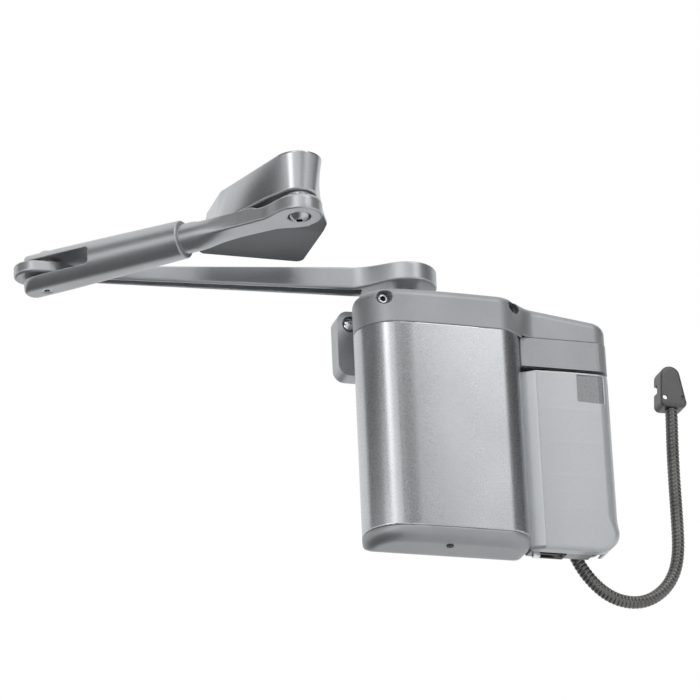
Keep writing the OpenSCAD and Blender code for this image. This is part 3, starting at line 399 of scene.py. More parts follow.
def top_cap(x, y, z):
    floor = np.where(x > 39, STEP_BOTTOM, SEAM_TOP)
    body = both(cap_shell(x, y, z, 0), floor - z, 0.9)
    hollow = cap_shell(x, y, z, WALL)
    for p in POCKETS:
        hollow = without(hollow, both(bore_y(x, z, p["at"], p["boss_r"]), y - p["boss"]))
    body = without(body, hollow, 0.3)
    for p in POCKETS:
        body = without(body, both(bore_y(x, z, p["at"], p["r"]), y - p["seat"]), 0.8)
    for p in POCKETS:
        body = without(body, both(bore_y(x, z, p["at"], CAP_HOLE_R), y - p["hole"]))
    shaft = np.hypot(x - PINION[0], y - PINION[1]) - SHAFT_HOLE_R
    body = without(body, both(shaft, CAP_TOP - 8 - z), 0.8)
    open_back = block(x, y, z, (-94, -4.8, 60), (124, 8, CAP_TOP - WALL))
    ear = both(both(x - NOTCH_X, NOTCH_Y - y), 40 - z)
    return without(without(body, open_back, 0.3), ear, 0.5)


cap = skin("cap_casting", top_cap, (-134, -103, 75), (129, -1, 112), 1.15)

# %% [markdown]
# The front cover is one bent wall: the band of constant thickness along the outline, between the
# two seams, with softened edges. It gives way to the back plate, to the battery bay, to the ear
# and to the bottom's chamfer.

# %% Front cover
CHAMFER_FRONT, CHAMFER_SLOPE = -58, math.atan2(27, 56)


def chamfer(y, z, lift):
    """Distance to the space under the sloping rear of the bottom, moved up by lift."""
    up, back = z - CAP_BOTTOM, y - CHAMFER_FRONT
    return up * math.cos(CHAMFER_SLOPE) - back * math.sin(CHAMFER_SLOPE) - lift


def front_cover(x, y, z):
    wall = np.abs(plan(x, y, FRONT) + WALL / 2) - WALL / 2
    wall = both(wall, slab(z, SEAM_BOTTOM, SEAM_TOP), 0.9)
    back_plate = both(both(x - 46, -94 - x), -8 - y)
    bay = both(30 - x, -68 - y)
    ear = both(both(x + 80, NOTCH_Y - y), 50 - z)
    for space in (back_plate, bay, ear):
        wall = without(wall, space, 0.4)
    return both(wall, -chamfer(y, z, WALL), 0.4)


cover = skin("front_cover_shell", front_cover, (-118, -102, -124), (38, -4, 76.5), 1.3)

# %% [markdown]
# The bottom cap is a bowl with a rounded band, less the same bowl moved inwards.

# %% Bottom cap
BOTTOM_EDGE_R = 11


def bottom_cap(x, y, z):
    def bowl(inset):
        form = both(plan(x, y, FRONT) + inset, CAP_BOTTOM + inset - z, BOTTOM_EDGE_R - inset)
        return both(form, -chamfer(y, z, inset), 3)

    body = without(bowl(0), bowl(WALL), 0.4)
    rim = np.minimum(z - SEAM_BOTTOM, chamfer(y, z, WALL))
    screw_hole = np.hypot(x + 44, y + 88) - 1.8
    back_plate = both(both(x - 46, -94 - x), -4.8 - y)
    return without(without(both(body, rim, 0.9), screw_hole), back_plate, 0.3)


floor_cap = skin("bottom_cap_shell", bottom_cap, (-120, -102, -138), (38, -1, -106), 1.0)

# %% [markdown]
# The battery cover has a bevel on its left, a round vertical corner on its right and a large
# round corner low on the right in elevation. The plan without its right side and the elevation
# outline cut each other with one rounded edge, whose radius shrinks from the side to the bottom.
# The face swells a little, and four faint ribs cross it where the cells behind it meet.

# %% Battery cover
BAY_BOTTOM, BAY_TOP, BAY_CORNER_R = -129.5, 47.2, 25.0
BAY_SIDES = [[40, -DEPTH + 7.7, 1], [52.5, -DEPTH, 3], [400, -DEPTH, 1], [400, 30, 1],
             [40, 30, 1]]
SIDE_EDGE_R, BOTTOM_SIDE_R = 14, 4
SWELL, RIB, RIB_WIDTH, RIB_LEVELS = 1.2, 0.04, 1.4, (9, -24, -57, -90)
FLOOR_FRONT, FLOOR_Z, FLOOR_SLOPE = -50, -128, math.atan2(41, 46)


def bay_floor(y, z):
    """Distance to the space under the sloping floor of the bay."""
    up, back = z - FLOOR_Z, y - FLOOR_FRONT
    return np.maximum(up * math.cos(FLOOR_SLOPE) - back * math.sin(FLOOR_SLOPE), -back)


def bay_form(x, y, z, inset):
    """The battery cover's outer form, moved inwards by inset. The radius of its edge runs from
    the bottom's to the side's over 30 mm of height, by a smooth step."""
    swell = SWELL * np.clip(1 - ((x - 90) / 38) ** 2, 0, 1)
    for level in RIB_LEVELS:
        swell = swell + RIB * np.exp(-(((z - level) / RIB_WIDTH) ** 2))
    side = plan(x, y + swell * (y < -70), BAY_SIDES) + inset
    elevation = both(x - SIDE_RIGHT + inset, BAY_BOTTOM + inset - z, BAY_CORNER_R - inset)
    blend = np.clip((z + 122) / 30, 0, 1)
    edge = BOTTOM_SIDE_R + (SIDE_EDGE_R - BOTTOM_SIDE_R) * blend * blend * (3 - 2 * blend)
    return both(side, elevation, np.maximum(edge - 0.8 * inset, 1.0))


def battery_cover(x, y, z):
    body = both(both(bay_form(x, y, z, 0), z - BAY_TOP, 0.9), y + 2, 0.5)
    body = without(body, bay_form(x, y, z, WALL), 0.3)
    open_back = both(x - 125.6, -8 - y)
    open_left = both(x - 60, -60 - y)
    open_floor = both(both(x - 125.6, -66.4 - y), z + 125.2)
    sloping_floor = both(bay_floor(y, z), 100 - x)
    body = without(without(body, open_back, 0.3), open_left, 0.4)
    body = without(without(body, open_floor, 0.4), sloping_floor, 0.4)
    return without(body, block(x, y, z, (93, -90, 18), (160, -77.3, 45), 0.6), 0.2)


bay_cover = skin("battery_cover_shell", battery_cover, (39, -80, -130.5), (129.5, -2, 48), 1.2)

# %% [markdown]
# ## The arms
# The main arm is forged: a round hub, a bar that narrows towards a round eye, and a channel cut
# along its underside. In plan the hub, the bar and the eye join with generous fillets; the height
# of the bar above and below its middle is a curve of the distance from the hub. Both arms are
# worked out in their own frame, with u along the arm, v across and w up.

# %% Frames of the arms
ARM_LEN, ARM_DIR, ARM_Z = 338.3, math.radians(172.0), 141.0
FORE_LEN, FORE_DIR = 264.5, math.radians(-43.8)
ELBOW = (PINION[0] + ARM_LEN * math.cos(ARM_DIR), PINION[1] + ARM_LEN * math.sin(ARM_DIR))
PIVOT = (ELBOW[0] + FORE_LEN * math.cos(FORE_DIR), ELBOW[1] + FORE_LEN * math.sin(FORE_DIR))


def along(x, y, start, direction):
    """Distance along and across a direction from a start point."""
    dx, dy = x - start[0], y - start[1]
    c, s = math.cos(direction), math.sin(direction)
    return dx * c + dy * s, dy * c - dx * s


# %% Main arm
HUB_R, EYE_R, EYE_OVERRUN, PIN_HOLE_R = 29, 18, 13, 5.1
CHANNEL_FROM, CHANNEL_TO = 43, 302


def main_arm(x, y, z):
    u, v = along(x, y, PINION, ARM_DIR)
    w = z - ARM_Z
    v = np.abs(v)
    half = np.interp(u, (0, 52, 326), (12.5, 10, 6.5))
    bar = both(v - half, np.maximum(-u, u - ARM_LEN))
    eye = np.hypot(u - np.clip(u, ARM_LEN, ARM_LEN + EYE_OVERRUN), v) - EYE_R
    shape = either(either(np.hypot(u, v) - HUB_R, bar, 26), eye, 12)
    top = np.interp(u, (24, 44, 62, 326), (9, 9.8, 10.4, 5.7))
    low = np.interp(u, (22, 34, 52, 326), (-9.3, -10.4, -12, -5.7))
    body = both(both(shape, w - top, 1.6), low - w, 2.4)
    groove = np.interp(u, (42, CHANNEL_TO), (6.5, 3.6))
    roof = np.interp(u, (42, CHANNEL_TO), (4, 1.5))
    channel = both(both(v - groove, slab(u, CHANNEL_FROM, CHANNEL_TO), 3), w - roof, 1.5)
    square_hole = both(both(np.abs(u) - 6.5, v - 6.5, 0.3), -99 - w)
    washer_seat = both(np.hypot(u, v) - 13, 8 - w)
    body = without(without(body, channel, 0.7), square_hole, 0.3)
    body = without(body, washer_seat, 0.3)
    return without(body, np.hypot(u - ARM_LEN, v) - PIN_HOLE_R, 0.5)


arm = skin("main_arm_forging", main_arm, (-427, -75, 128), (-29, 27, 152), 1.05)

# %% [markdown]
# The forearm tube is a slightly conical bar with a round rear end, slotted there for the arm's eye
# and bored from the mouth for the rod.

# %% Forearm tube
TUBE_END, SLOT_HALF, SLOT_END, ROD_BORE_R, BORE_END = 146, 8.25, 54, 14, 58


def forearm_tube(x, y, z):
    u, v = along(x, y, ELBOW, FORE_DIR)
    w = z - ARM_Z
    radius = np.interp(u, (20, 143), (20.3, 17.8))
    body = both(np.hypot(v, w) - radius, u - TUBE_END, 1.2)
    body = both(body, either(np.hypot(u, v) - 21.5, both(-u, np.abs(v) - 25)), 3.5)
    body = both(body, np.abs(w) - 18, 1.5)
    slot = both(np.abs(w) - SLOT_HALF, u - SLOT_END, 4)
    bore = both(np.hypot(v, w) - ROD_BORE_R, BORE_END - u)
    clamp_hole = both(np.hypot(u - 120, v) - 3, -w)
    body = without(without(body, slot, 0.8), np.hypot(u, v) - 5)
    return without(without(body, bore, 0.6), clamp_hole, 0.3)


tube = skin("forearm_tube_casting", forearm_tube, (-416, -119, 121), (-271, 26, 161), 1.0)

# %% [markdown]
# The rod slides in the tube. Behind the mouth it is round; towards the shoe it is forged flat,
# and its edges run into the eye with fillets. The round and the flat section are two distances,
# and the share of each changes smoothly along the rod. A low knuckle stands on the eye.

# %% Forearm rod
ROD_R, ROD_FLAT, ROD_EYE_R, KNUCKLE_TOP = 13.95, 6.5, 21, 8.6
FLAT_FROM, FLAT_OVER = 160, 46


def forearm_rod(x, y, z):
    u, v = along(x, y, ELBOW, FORE_DIR)
    w = z - ARM_Z
    round_bar = np.hypot(v, w) - ROD_R
    half = np.interp(u, (206, 258), (12, 14))
    centre = np.hypot(u - FORE_LEN, v)
    edge = either(np.abs(v) - half, centre - ROD_EYE_R, 14)
    edge = np.where(u > FORE_LEN, centre - ROD_EYE_R, edge)
    top = np.interp(u, (206, 222, 228), (9.2, 9.2, ROD_FLAT))
    flat = both(both(edge, w - top, 1.6), -ROD_FLAT - w, 1.6)
    t = np.clip((u - FLAT_FROM) / FLAT_OVER, 0, 1)
    body = round_bar + (flat - round_bar) * t * t * (3 - 2 * t)
    body = both(body, 66 - u, 1)
    body = both(body, w - 9.2 - np.maximum(166.5 - u, 0) * 0.4, 1)
    knuckle = both(centre - 20, slab(w, -4, KNUCKLE_TOP), 1.2)
    spacer = both(centre - 10, slab(w, 0, 9.5), 0.4)
    head_seat = both(centre - 10.5, w + 1.5)
    body = either(either(body, knuckle, 1.5), spacer)
    return without(without(body, head_seat, 0.5), centre - PIN_HOLE_R, 0.3)


rod = skin("forearm_rod_forging", forearm_rod, (-350, -203, 126), (-180, -32, 156), 1.0)

# %% [markdown]
# ## The frame shoe
# The shoe is a belt around five circles: the nose at the pivot, two shoulders and two small
# corners at its base. It is drawn for the bottom and for the top and blended with the height:
# downwards the base widens, the shoulders come forward and the nose narrows. The underside lifts
# towards the nose. A pocket opens the top, and four screw holes pass through the base.

# %% Belt around circles


def belt(x, y, circles):
    """Distance to the outline stretched around circles [x, y, r], counter-clockwise: the largest of
    the tangent distances, and in a circle's sector the distance to that circle."""
    c = np.array(circles, float)
    ahead = np.roll(c, -1, axis=0) - c
    reach = np.linalg.norm(ahead[:, :2], axis=1)
    lean = -ahead[:, 2] / reach
    run = ahead[:, :2] / reach[:, None]
    across = np.stack((run[:, 1], -run[:, 0]), 1)
    out = run * lean[:, None] + across * np.sqrt(1 - lean**2)[:, None]
    dist = largest([(x - a[0]) * n[0] + (y - a[1]) * n[1] - a[2] for a, n in zip(c, out)])
    for i, (cx, cy, r) in enumerate(c):
        px, py = x - cx, y - cy
        sector = (out[i - 1, 0] * py - out[i - 1, 1] * px >= 0) \
            & (px * out[i, 1] - py * out[i, 0] >= 0)
        dist = np.where(sector, np.hypot(px, py) - r, dist)
    return dist


# %% Frame shoe
SHOE_Z, SHOE_H, SHOE_X, SHOE_BASE = 150.8, 40.5, -212.2, -47.5
CORNER_R, BOSS_R, BOSS_DEPTH, UNDERSIDE_LIFT = 7.5, 10.5, 9, 4.8


def shoe_belt(x, y, half, nose, shift, left, right):
    """Plan of the shoe by its half width, the nose's radius and shift, and how far the left and
    the right shoulder come forward."""
    corner = half - CORNER_R
    return belt(x, y, [
        [PIVOT[0], PIVOT[1] + shift, nose], [SHOE_X + half - 14, SHOE_BASE - right, 14],
        [SHOE_X + corner, SHOE_BASE - CORNER_R, CORNER_R],
        [SHOE_X - corner, SHOE_BASE - CORNER_R, CORNER_R],
        [SHOE_X - half + 20, SHOE_BASE - left, 20]])


def frame_shoe(x, y, z):
    share = np.clip((z - SHOE_Z - 1.5) / (SHOE_H - 3), -0.05, 1.05)
    sides = shoe_belt(x, y, 50.75, 17, 4, 67, 82) * (1 - share) \
        + shoe_belt(x, y, 42.25, 22, 0, 51, 65) * share
    lift = UNDERSIDE_LIFT * np.clip((PIVOT[1] + 60 - y) / 46, 0, 1)
    body = both(both(sides, SHOE_Z + lift - z, 2.0), z - SHOE_Z - SHOE_H, 1.6)
    pocket = belt(x, y, [
        [PIVOT[0], PIVOT[1] + 26, 9], [SHOE_X + 22.25, SHOE_BASE - 50, 12],
        [SHOE_X + 32.25, SHOE_BASE - 11, 4], [SHOE_X - 32.25, SHOE_BASE - 11, 4],
        [SHOE_X - 22.25, SHOE_BASE - 50, 12]])
    body = without(body, both(pocket, SHOE_Z + 5.5 - z, 3), 1.2)
    reach = np.hypot(x - PIVOT[0], y - PIVOT[1])
    body = either(body, both(reach - BOSS_R, slab(z, SHOE_Z, SHOE_Z + BOSS_DEPTH), 0.5), 0.6)
    body = without(body, both(reach - 5, z - SHOE_Z - 19))
    hole = np.hypot(np.abs(x - SHOE_X) - 30, np.abs(z - SHOE_Z - 23.2) - 9) - 2.8
    return without(body, both(hole, SHOE_BASE - 12 - y), 0.4)


shoe = skin("frame_shoe_casting", frame_shoe, (-264, -203, 150), (-161, -47, 192), 1.15)

# %% [markdown]
# ## The end cap of the loop
# The end cap is a bell: a belt around one large and two small circles, seen from the front, with
# a soft front edge, a hollow back, a knocked-out square in its left wall, a mouth for the loop and
# two countersunk screw holes.

# %% Loop end cap
END_X, END_SPAN, END_HOLE_Z, END_HOLE_R = 214.7, 18.0, 55.0, 2.3
END_FRONT, END_INNER, END_WALL = -20, -17.8, 2.2
BELL = [[END_X - 8.5, 51, 5], [END_X + 8.5, 51, 5], [END_X - 1.5, 78, 10]]


def end_cap(x, y, z):
    bell = belt(x, z, BELL)
    body = both(both(bell, END_FRONT - y, 3.2), y, 0.3)
    hollow = both(bell + END_WALL, END_INNER - y, 1)
    knock_out = block(x, y, z, (END_X - 30, -8, 63), (END_X - 10, 4, 72), 0.3)
    mouth = both(np.hypot(x - END_X, y + 11) - LOOP_R, z - 49)
    body = without(without(without(body, hollow, 0.4), knock_out, 0.2), mouth, 0.3)
    hole = np.hypot(np.abs(x - END_X) - END_SPAN / 2, z - END_HOLE_Z) - END_HOLE_R
    sink = np.maximum(hole, (hole - np.maximum(-17.6 - y, 0) * 0.8) * 0.78)
    return without(body, both(np.minimum(hole, sink), y + 10), 0.25)


bell = skin("loop_end_bell", end_cap, (198, -21, 45), (229, 0.5, 89), 0.55)

# %% [markdown]
# ## Screws
# The heads that show get their true form: a domed head with a hexagon socket holds the shoe, two
# socket heads sit deep in the cap's pockets and domed heads hold the ears.

# %% Hexagon and screw heads


def hexagon(a, b, half_width):
    """Distance to an endless hexagonal hole: the largest of three slabs turned by 60 degrees."""
    c, s = math.cos(math.pi / 3), math.sin(math.pi / 3)
    slanted = np.maximum(np.abs(a * c + b * s), np.abs(a * c - b * s))
    return np.maximum(np.abs(a), slanted) - half_width


def shoe_screw(x, y, z):
    """A dome cut from a sphere of 10.5 mm, in the arm's frame, under the rod's flat."""
    u, v = along(x, y, ELBOW, FORE_DIR)
    u, w = u - FORE_LEN, z - (ARM_Z - ROD_FLAT)
    reach = np.hypot(u, v)
    head = both(both(reach - 9.5, w - 5, 0.3), np.hypot(reach, w - 6.5) - 10.5, 0.6)
    head = without(head, both(hexagon(u, v, 3.0), w - 2.4), 0.4)
    return either(head, both(reach - 5, slab(w, 3, 31.5)))


def cap_screws(x, y, z):
    """Both socket screws, each a head with its hexagon and a shank, at the pocket's seat."""
    def screw(at, seat, end):
        reach = np.hypot(x - at[0], z - at[1])
        head = both(reach - 4.5, slab(y, seat - 4.5, seat), 0.6)
        socket = both(hexagon(x - at[0], z - at[1], 2.3), y - seat + 0.6)
        return either(without(head, socket, 0.5),
                      both(reach - SCREW_R, slab(y, seat - 1, end), 0.3))

    return np.minimum(*(screw(p["at"], p["seat"], p["screw_end"]) for p in POCKETS))


def ear_screws(x, y, z):
    """Both ear screws: a domed head of a 12.2 mm sphere with its hexagon, and a shank."""
    def screw(cx, cz):
        reach = np.hypot(x - cx, z - cz)
        head = both(both(reach - 6.6, y + 15, 0.2), np.hypot(reach, y + 8.5) - 12.2, 0.8)
        head = without(head, both(hexagon(x - cx, z - cz, 2.1), y + 18), 0.3)
        return either(head, both(reach - 3.6, slab(y, -16, 0)))

    return np.minimum(screw(-108, 104), screw(108, 74))


pivot_screw = skin("shoe_screw_head", shoe_screw, (-214, -191, 129), (-192, -169, 167), 0.5)
sockets = skin("cap_socket_screws", cap_screws, (-103, -92, 96), (38, -58, 111), 0.62)
ear_heads = skin("ear_screw_heads", ear_screws, (-116, -22, 66), (116, 1, 112), 0.7)

# %% [markdown]
# ## Closer spring
# A round wire wound around the piston's line. The centre of the wire moves evenly along X while it
# turns, and a ring of points around it, in the plane of X and the outward direction, sweeps the
# wire. The spring rides on the piston.

# %% Closer spring
SPRING_FROM, SPRING_TO, SPRING_R, WIRE_R, TURNS = -32.7, 84.0, 9.6, 2.0, 12
SPRING_TRAVEL, CYLINDER_Z = 18.33, 79.0


def spring_surface(rows=576, cols=16):
    share = np.arange(rows + 1)[:, None] / rows
    turn = 2 * np.pi * TURNS * share
    ring = -2 * np.pi * np.arange(cols)[None, :] / cols
    out = SPRING_R + WIRE_R * np.cos(ring)
    forward = SPRING_FROM + (SPRING_TO - SPRING_FROM) * share + WIRE_R * np.sin(ring)
    points = np.stack([forward, PINION[1] + out * np.cos(turn), CYLINDER_Z + out * np.sin(turn)],
                      axis=2)
    ends = np.array([np.arange(cols)[::-1], rows * cols + np.arange(cols)])
    return points.reshape(-1, 3), [tube_faces(rows + 1, cols), ends]


spring = make_piece("closer_spring_coil", *spring_surface(), angle=40)

# %% [markdown]
# ## Finishes
# Paint with fine metal flake, bare steel and plastics come from one recipe. A fine noise varies
# colour and gloss and lifts the surface a little, as the paint's grain does, and a slow noise adds
# patches to the colour.

# %% Material helpers
PATCH_SCALE, PATCH_SHARE = 22.0, 0.35
RAMP_LOW, RAMP_HIGH, NOISE_LOW, NOISE_HIGH = 0.32, 0.68, 0.3, 0.7


def node_material(name):
    material = bpy.data.materials.new(name)
    material.use_nodes = True
    tree = material.node_tree
    return material, tree, tree.nodes["Principled BSDF"]


def wired(tree, kind, inputs=None, **settings):
    """New node with its settings, and its inputs linked to sockets or set to values."""
    node = tree.nodes.new(kind)
    for key, value in settings.items():
        setattr(node, key, value)
    for key, value in (inputs or {}).items():
        socket = node.inputs[key]
        if isinstance(value, bpy.types.NodeSocket):
            tree.links.new(value, socket)
        else:
            socket.default_value = value
    return node


def grey(level, warm=-0.028):
    """Grey whose red is raised and blue lowered by the share warm: most of them are a little
    cool."""
    return (level * (1 + warm), level, level * (1 - warm), 1.0)


def speckled(name, dark, light, metallic, rough, grain, bump):
    """Paint or metal whose colour and roughness vary with a fine grain and slow patches.

    dark and light are linear colours, rough the lowest and highest roughness, grain the speckles
    per metre, bump the lift of the grain in metres."""
    material, tree, shader = node_material(name)
    place = wired(tree, "ShaderNodeTexCoord").outputs["Object"]
    fine = wired(tree, "ShaderNodeTexNoise", {"Vector": place, "Scale": grain, "Detail": 2.0,
                                              "Roughness": 0.6}).outputs["Fac"]
    slow = wired(tree, "ShaderNodeTexNoise", {"Vector": place, "Scale": PATCH_SCALE,
                                              "Detail": 3.0}).outputs["Fac"]
    share = wired(tree, "ShaderNodeMix", {"Factor": PATCH_SHARE, "A": fine, "B": slow})
    ramp = wired(tree, "ShaderNodeValToRGB", {"Fac": share.outputs[0]})
    for stop, at, colour in zip(ramp.color_ramp.elements, (RAMP_LOW, RAMP_HIGH), (dark, light)):
        stop.position, stop.color = at, colour
    tree.links.new(ramp.outputs["Color"], shader.inputs["Base Color"])
    level = wired(tree, "ShaderNodeMapRange", {
        "Value": fine, "From Min": NOISE_LOW, "From Max": NOISE_HIGH, "To Min": rough[0],
        "To Max": rough[1]})
    tree.links.new(level.outputs["Result"], shader.inputs["Roughness"])
    lift = wired(tree, "ShaderNodeBump", {"Height": fine, "Strength": 1.0, "Distance": bump})
    tree.links.new(lift.outputs["Normal"], shader.inputs["Normal"])
    shader.inputs["Metallic"].default_value = metallic
    return material


# %% Finishes
# name: dark, light, metallic, roughness range, speckles per metre, lift of the grain
TABLE = {
    "silver_paint": (grey(0.50), grey(0.62), 0.9, (0.25, 0.33), 1500, 1.2e-5),
    "cap_paint": (grey(0.38), grey(0.50), 0.6, (0.42, 0.55), 1100, 3e-5),
    "arm_paint": (grey(0.48), grey(0.60), 0.75, (0.34, 0.46), 1300, 2.5e-5),
    "shoe_paint": (grey(0.50), grey(0.58), 0.8, (0.27, 0.34), 1300, 5e-6),
    "cast_body": (grey(0.43), grey(0.55), 0.8, (0.35, 0.50), 700, 6e-5),
    "plate_steel": (grey(0.50), grey(0.62), 0.9, (0.28, 0.40), 400, 1e-5),
    "bright_steel": (grey(0.62), grey(0.76), 1.0, (0.12, 0.22), 900, 4e-6),
    "plain_steel": (grey(0.50), grey(0.64), 1.0, (0.30, 0.42), 600, 1e-5),
    "black_steel": (grey(0.03), grey(0.06), 0.7, (0.35, 0.50), 800, 1e-5),
    "brass": ((0.26, 0.23, 0.18, 1), (0.36, 0.32, 0.26, 1), 0.9, (0.25, 0.40), 600, 1e-5),
    "spring_steel": (grey(0.10), grey(0.18), 0.9, (0.30, 0.45), 600, 1e-5),
    "board": ((0.015, 0.09, 0.04, 1), (0.02, 0.13, 0.06, 1), 0.0, (0.35, 0.50), 500, 1e-5),
    "black_plastic": (grey(0.012), grey(0.03), 0.0, (0.40, 0.55), 900, 2e-5),
    "cover_plastic": (grey(0.70), grey(0.78), 0.25, (0.28, 0.36), 900, 3e-6),
    "window_plastic": (grey(0.37), grey(0.42), 0.2, (0.24, 0.34), 600, 4e-6),
    "cell_skin": (grey(0.05), grey(0.10), 0.4, (0.30, 0.45), 300, 1e-5),
    # painted shade: a darker copy of the shoe's paint for its downward faces
    "painted_shade_underside": (grey(0.18), grey(0.25), 0.5, (0.40, 0.55), 900, 4e-5),
    "bronze_armour": (grey(0.09, 0.03), grey(0.23, 0.02), 0.85, (0.28, 0.45), 900, 3e-5),
    "bronze_paint": (grey(0.12, 0.0), grey(0.17, 0.0), 0.5, (0.35, 0.50), 1100, 4e-5),
}
FINISHES = {name: speckled("finish_" + name, *values) for name, values in TABLE.items()}

# %% [markdown]
# ## Bodies, slots and finishes
# Each new piece rides on the body of the CAD node that it stands for. Sockets, the right cap screw
# and the shoe's underside get a darker finish of their own: painted shade. The CAD nodes that stay
# get the finish that their slot names.

# %% Hang every piece and give it its finish
# piece, body, finish, CAD node
NEW_PIECES = (
    (cap, "operator", "cap_paint", "top_cap"), (cover, "operator", "silver_paint", "front_cover"),
    (floor_cap, "operator", "cap_paint", "bottom_cap"),
    (bay_cover, "cover", "cover_plastic", "battery_cover"), (arm, "arm", "arm_paint", "main_arm"),
    (tube, "forearm", "arm_paint", "forearm_tube"), (rod, "rod", "arm_paint", "forearm_rod"),
    (shoe, "shoe", "shoe_paint", "shoe"), (bell, "operator", "bronze_paint", "loop_end_cap"),
    (pivot_screw, "shoe", "plain_steel", "shoe_screw"),
    (sockets, "operator", "bright_steel", "cap_screws"),
    (ear_heads, "operator", "bright_steel", "ear_screws"),
    (spring, "piston", "spring_steel", "closer_spring"),
    (loop, "operator", "bronze_armour", "armoured_loop"))
for piece, body, finish, node in NEW_PIECES:
    piece.data.materials.append(FINISHES[finish])
    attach(piece, body)
    # the shoe shares the record's slot with the arms, whose finish is a little duller
    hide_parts(node)

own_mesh(spring)

# %% Second finishes


def second_finish(piece, finish, chosen):
    """Give the faces that chosen(centres in mm, normals) picks a finish of their own."""
    count = len(piece.data.polygons)
    middles, ways = np.empty(3 * count, np.float32), np.empty(3 * count, np.float32)
    piece.data.polygons.foreach_get("center", middles)
    piece.data.polygons.foreach_get("normal", ways)
    pick = chosen(middles.reshape(-1, 3) / MM, ways.reshape(-1, 3))
    piece.data.materials.append(FINISHES[finish])
    piece.data.polygons.foreach_set("material_index", pick.astype(np.int32))
    print(piece.name, "faces in", finish, int(pick.sum()))


# painted shade: the whole right cap screw, in its dark pocket, and the left screw's socket get
# black steel
def shaded_right_screw_or_left_socket(c, n):
    (left, high), _ = (p["at"] for p in POCKETS)
    in_socket = (np.hypot(c[:, 0] - left, c[:, 2] - high) < 2.4) & (c[:, 1] > -90.9)
    return (c[:, 0] > 0) | in_socket


# painted shade: the socket of the shoe's screw gets black steel
def shaded_shoe_screw_socket(c, n):
    reach = np.hypot(c[:, 0] - PIVOT[0], c[:, 1] - PIVOT[1])
    return (reach < 3.6) & (c[:, 2] < ARM_Z) & (c[:, 2] > ARM_Z - ROD_FLAT - 3.1)


# the shoe's downward faces, which get a darker finish: painted shade
def underside(c, n):
    return (n[:, 2] < -0.9) & (c[:, 2] < SHOE_Z + 5.5)


# black steel here is painted shade in the sockets and on the right cap screw
second_finish(sockets, "black_steel", shaded_right_screw_or_left_socket)
second_finish(pivot_screw, "black_steel", shaded_shoe_screw_socket)
# painted shade on the shoe's underside
second_finish(shoe, "painted_shade_underside", underside)
print("new pieces:", len(NEW_PIECES))

# %% Finishes of the CAD nodes that stay
replaced = {row[3] for row in NEW_PIECES}
for name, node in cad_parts.items():
    if name not in replaced:
        finish = node.data.materials[0].name
        node.data.materials.clear()
        # the small screw under the bottom cap is dark in the picture
        node.data.materials.append(FINISHES["black_steel" if name == "bottom_screw" else finish])
print("dressed", len(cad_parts) - len(replaced), "CAD nodes")

# %% [markdown]
# ## Studio
# A white room, whose light on matt surfaces is lower than what the camera and reflections see.
# Three soft lamps stand high in front, on the left and low on the left. A pale floor far below and
# the dark cards are not seen by the camera: the floor lights the undersides, and the cards draw
# the bands on the round corners of the cover.

# %% Room
SEEN_LEVEL, DIFFUSE_LEVEL = 1.0, 0.45
world = bpy.data.worlds.new("white_room")
bpy.context.scene.world = world
world.use_nodes = True
sky = world.node_tree
rays = wired(sky, "ShaderNodeLightPath")
seen = wired(sky, "ShaderNodeMath", {0: rays.outputs["Is Camera Ray"],
                                     1: rays.outputs["Is Glossy Ray"]}, operation="MAXIMUM")
seen = wired(sky, "ShaderNodeMath", {0: seen.outputs[0], 1: rays.outputs["Is Transmission Ray"]},
             operation="MAXIMUM")
level = wired(sky, "ShaderNodeMapRange", {"Value": seen.outputs[0], "To Min": DIFFUSE_LEVEL,
                                          "To Max": SEEN_LEVEL})
background = sky.nodes["Background"]
background.inputs["Color"].default_value = (1, 1, 1, 1)
sky.links.new(level.outputs["Result"], background.inputs["Strength"])
bpy.context.scene.view_settings.view_transform = "Standard"

# %% Floor and cards
FLOOR_HEIGHT, DIM_CARD_HEIGHT, CARD_RADIUS = -1.7, -1.2, 2.6


def stage_card(name, corners, material):
    """Flat card of the studio, through its corners in metres, that the camera doesn't see."""
    mesh = bpy.data.meshes.new(name)
    mesh.from_pydata([tuple(c) for c in corners], [], [tuple(range(len(corners)))])
    card = bpy.data.objects.new(name, mesh)
    bpy.context.scene.collection.objects.link(card)
    card.data.materials.append(material)
    card.visible_camera = False


def level_card(name, x0, x1, y0, y1, z, material):
    stage_card(name, [(x0, y0, z), (x1, y0, z), (x1, y1, z), (x0, y1, z)], material)


def flat_finish(name, level):
    material, tree, shader = node_material(name)
    shader.inputs["Base Color"].default_value = grey(level)
    shader.inputs["Roughness"].default_value = 0.9
    return material, tree, shader


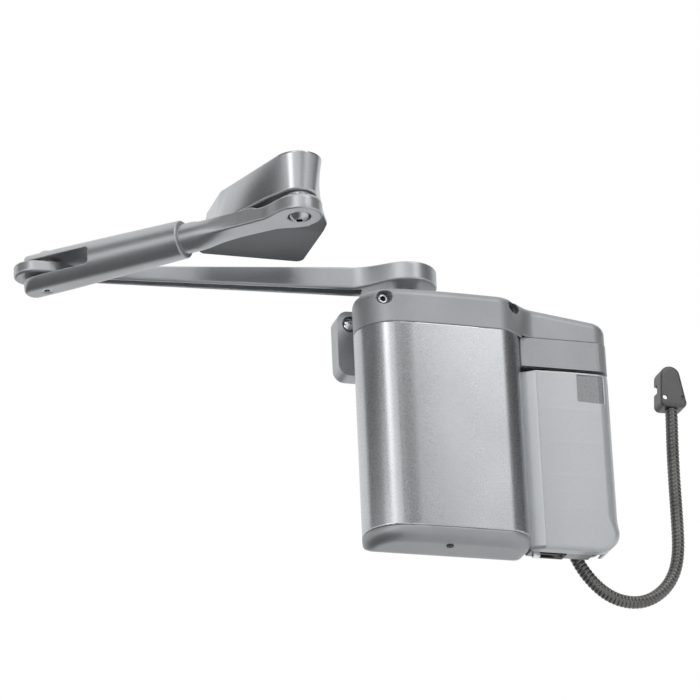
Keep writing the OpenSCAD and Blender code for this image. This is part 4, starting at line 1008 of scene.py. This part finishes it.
floor_finish, tree, shader = flat_finish("pale_floor", 0.85)
# reflections see the floor brighter than the lamps alone would make it
glow = wired(tree, "ShaderNodeLightPath").outputs["Is Glossy Ray"]
shader.inputs["Emission Color"].default_value = (0.5, 0.5, 0.5, 1)
tree.links.new(glow, shader.inputs["Emission Strength"])
dark_card, dim_card = (flat_finish(*row)[0] for row in (("dark_card", 0.015), ("dim_card", 0.15)))
level_card("studio_floor", -6, 6, -8, 1.8, FLOOR_HEIGHT, floor_finish)


def upright_card(name, azimuth, span, low, high):
    """Upright dark card around the object, from low to high in metres: its middle's azimuth from
    the front towards the left and its span, in degrees."""
    ends = [math.radians(azimuth - span / 2), math.radians(azimuth + span / 2)]
    (x0, y0), (x1, y1) = [(-CARD_RADIUS * math.sin(a), -CARD_RADIUS * math.cos(a)) for a in ends]
    stage_card(name, [(x0, y0, low), (x1, y1, low), (x1, y1, high), (x0, y0, high)], dark_card)


upright_card("card_left", 77.5, 75, 0.5, 2.0)
upright_card("card_middle", -4.5, 19, 0.1, 3.2)
upright_card("card_right", -68, 64, 0.4, 3.2)
level_card("card_low_left", -5, -0.1, -2.6, 2.8, DIM_CARD_HEIGHT, dim_card)

# %% Lamps


def soft_lamp(name, place, target, size, power):
    """Square area lamp at place, in metres, facing target."""
    light = bpy.data.lights.new(name, "AREA")
    light.size, light.energy = size, power
    lamp = bpy.data.objects.new(name, light)
    bpy.context.scene.collection.objects.link(lamp)
    back = np.array(place, float) - np.array(target, float)
    back /= np.linalg.norm(back)
    side = np.cross((0, 0, 1), back)
    side /= np.linalg.norm(side)
    pose = np.eye(4)
    pose[:3, 0], pose[:3, 1], pose[:3, 2], pose[:3, 3] = side, np.cross(back, side), back, place
    lamp.matrix_world = pose.T


soft_lamp("front_high", (0.67, -2.2, 1.95), (0, 0, 0), 1.4, 17)
soft_lamp("key_left", (-1.8, -2.2, 1.6), (0, 0, 0), 1.2, 12)
soft_lamp("low_left", (-2.0, -1.7, 0.3), (-0.1, 0, 0.1), 0.8, 6)
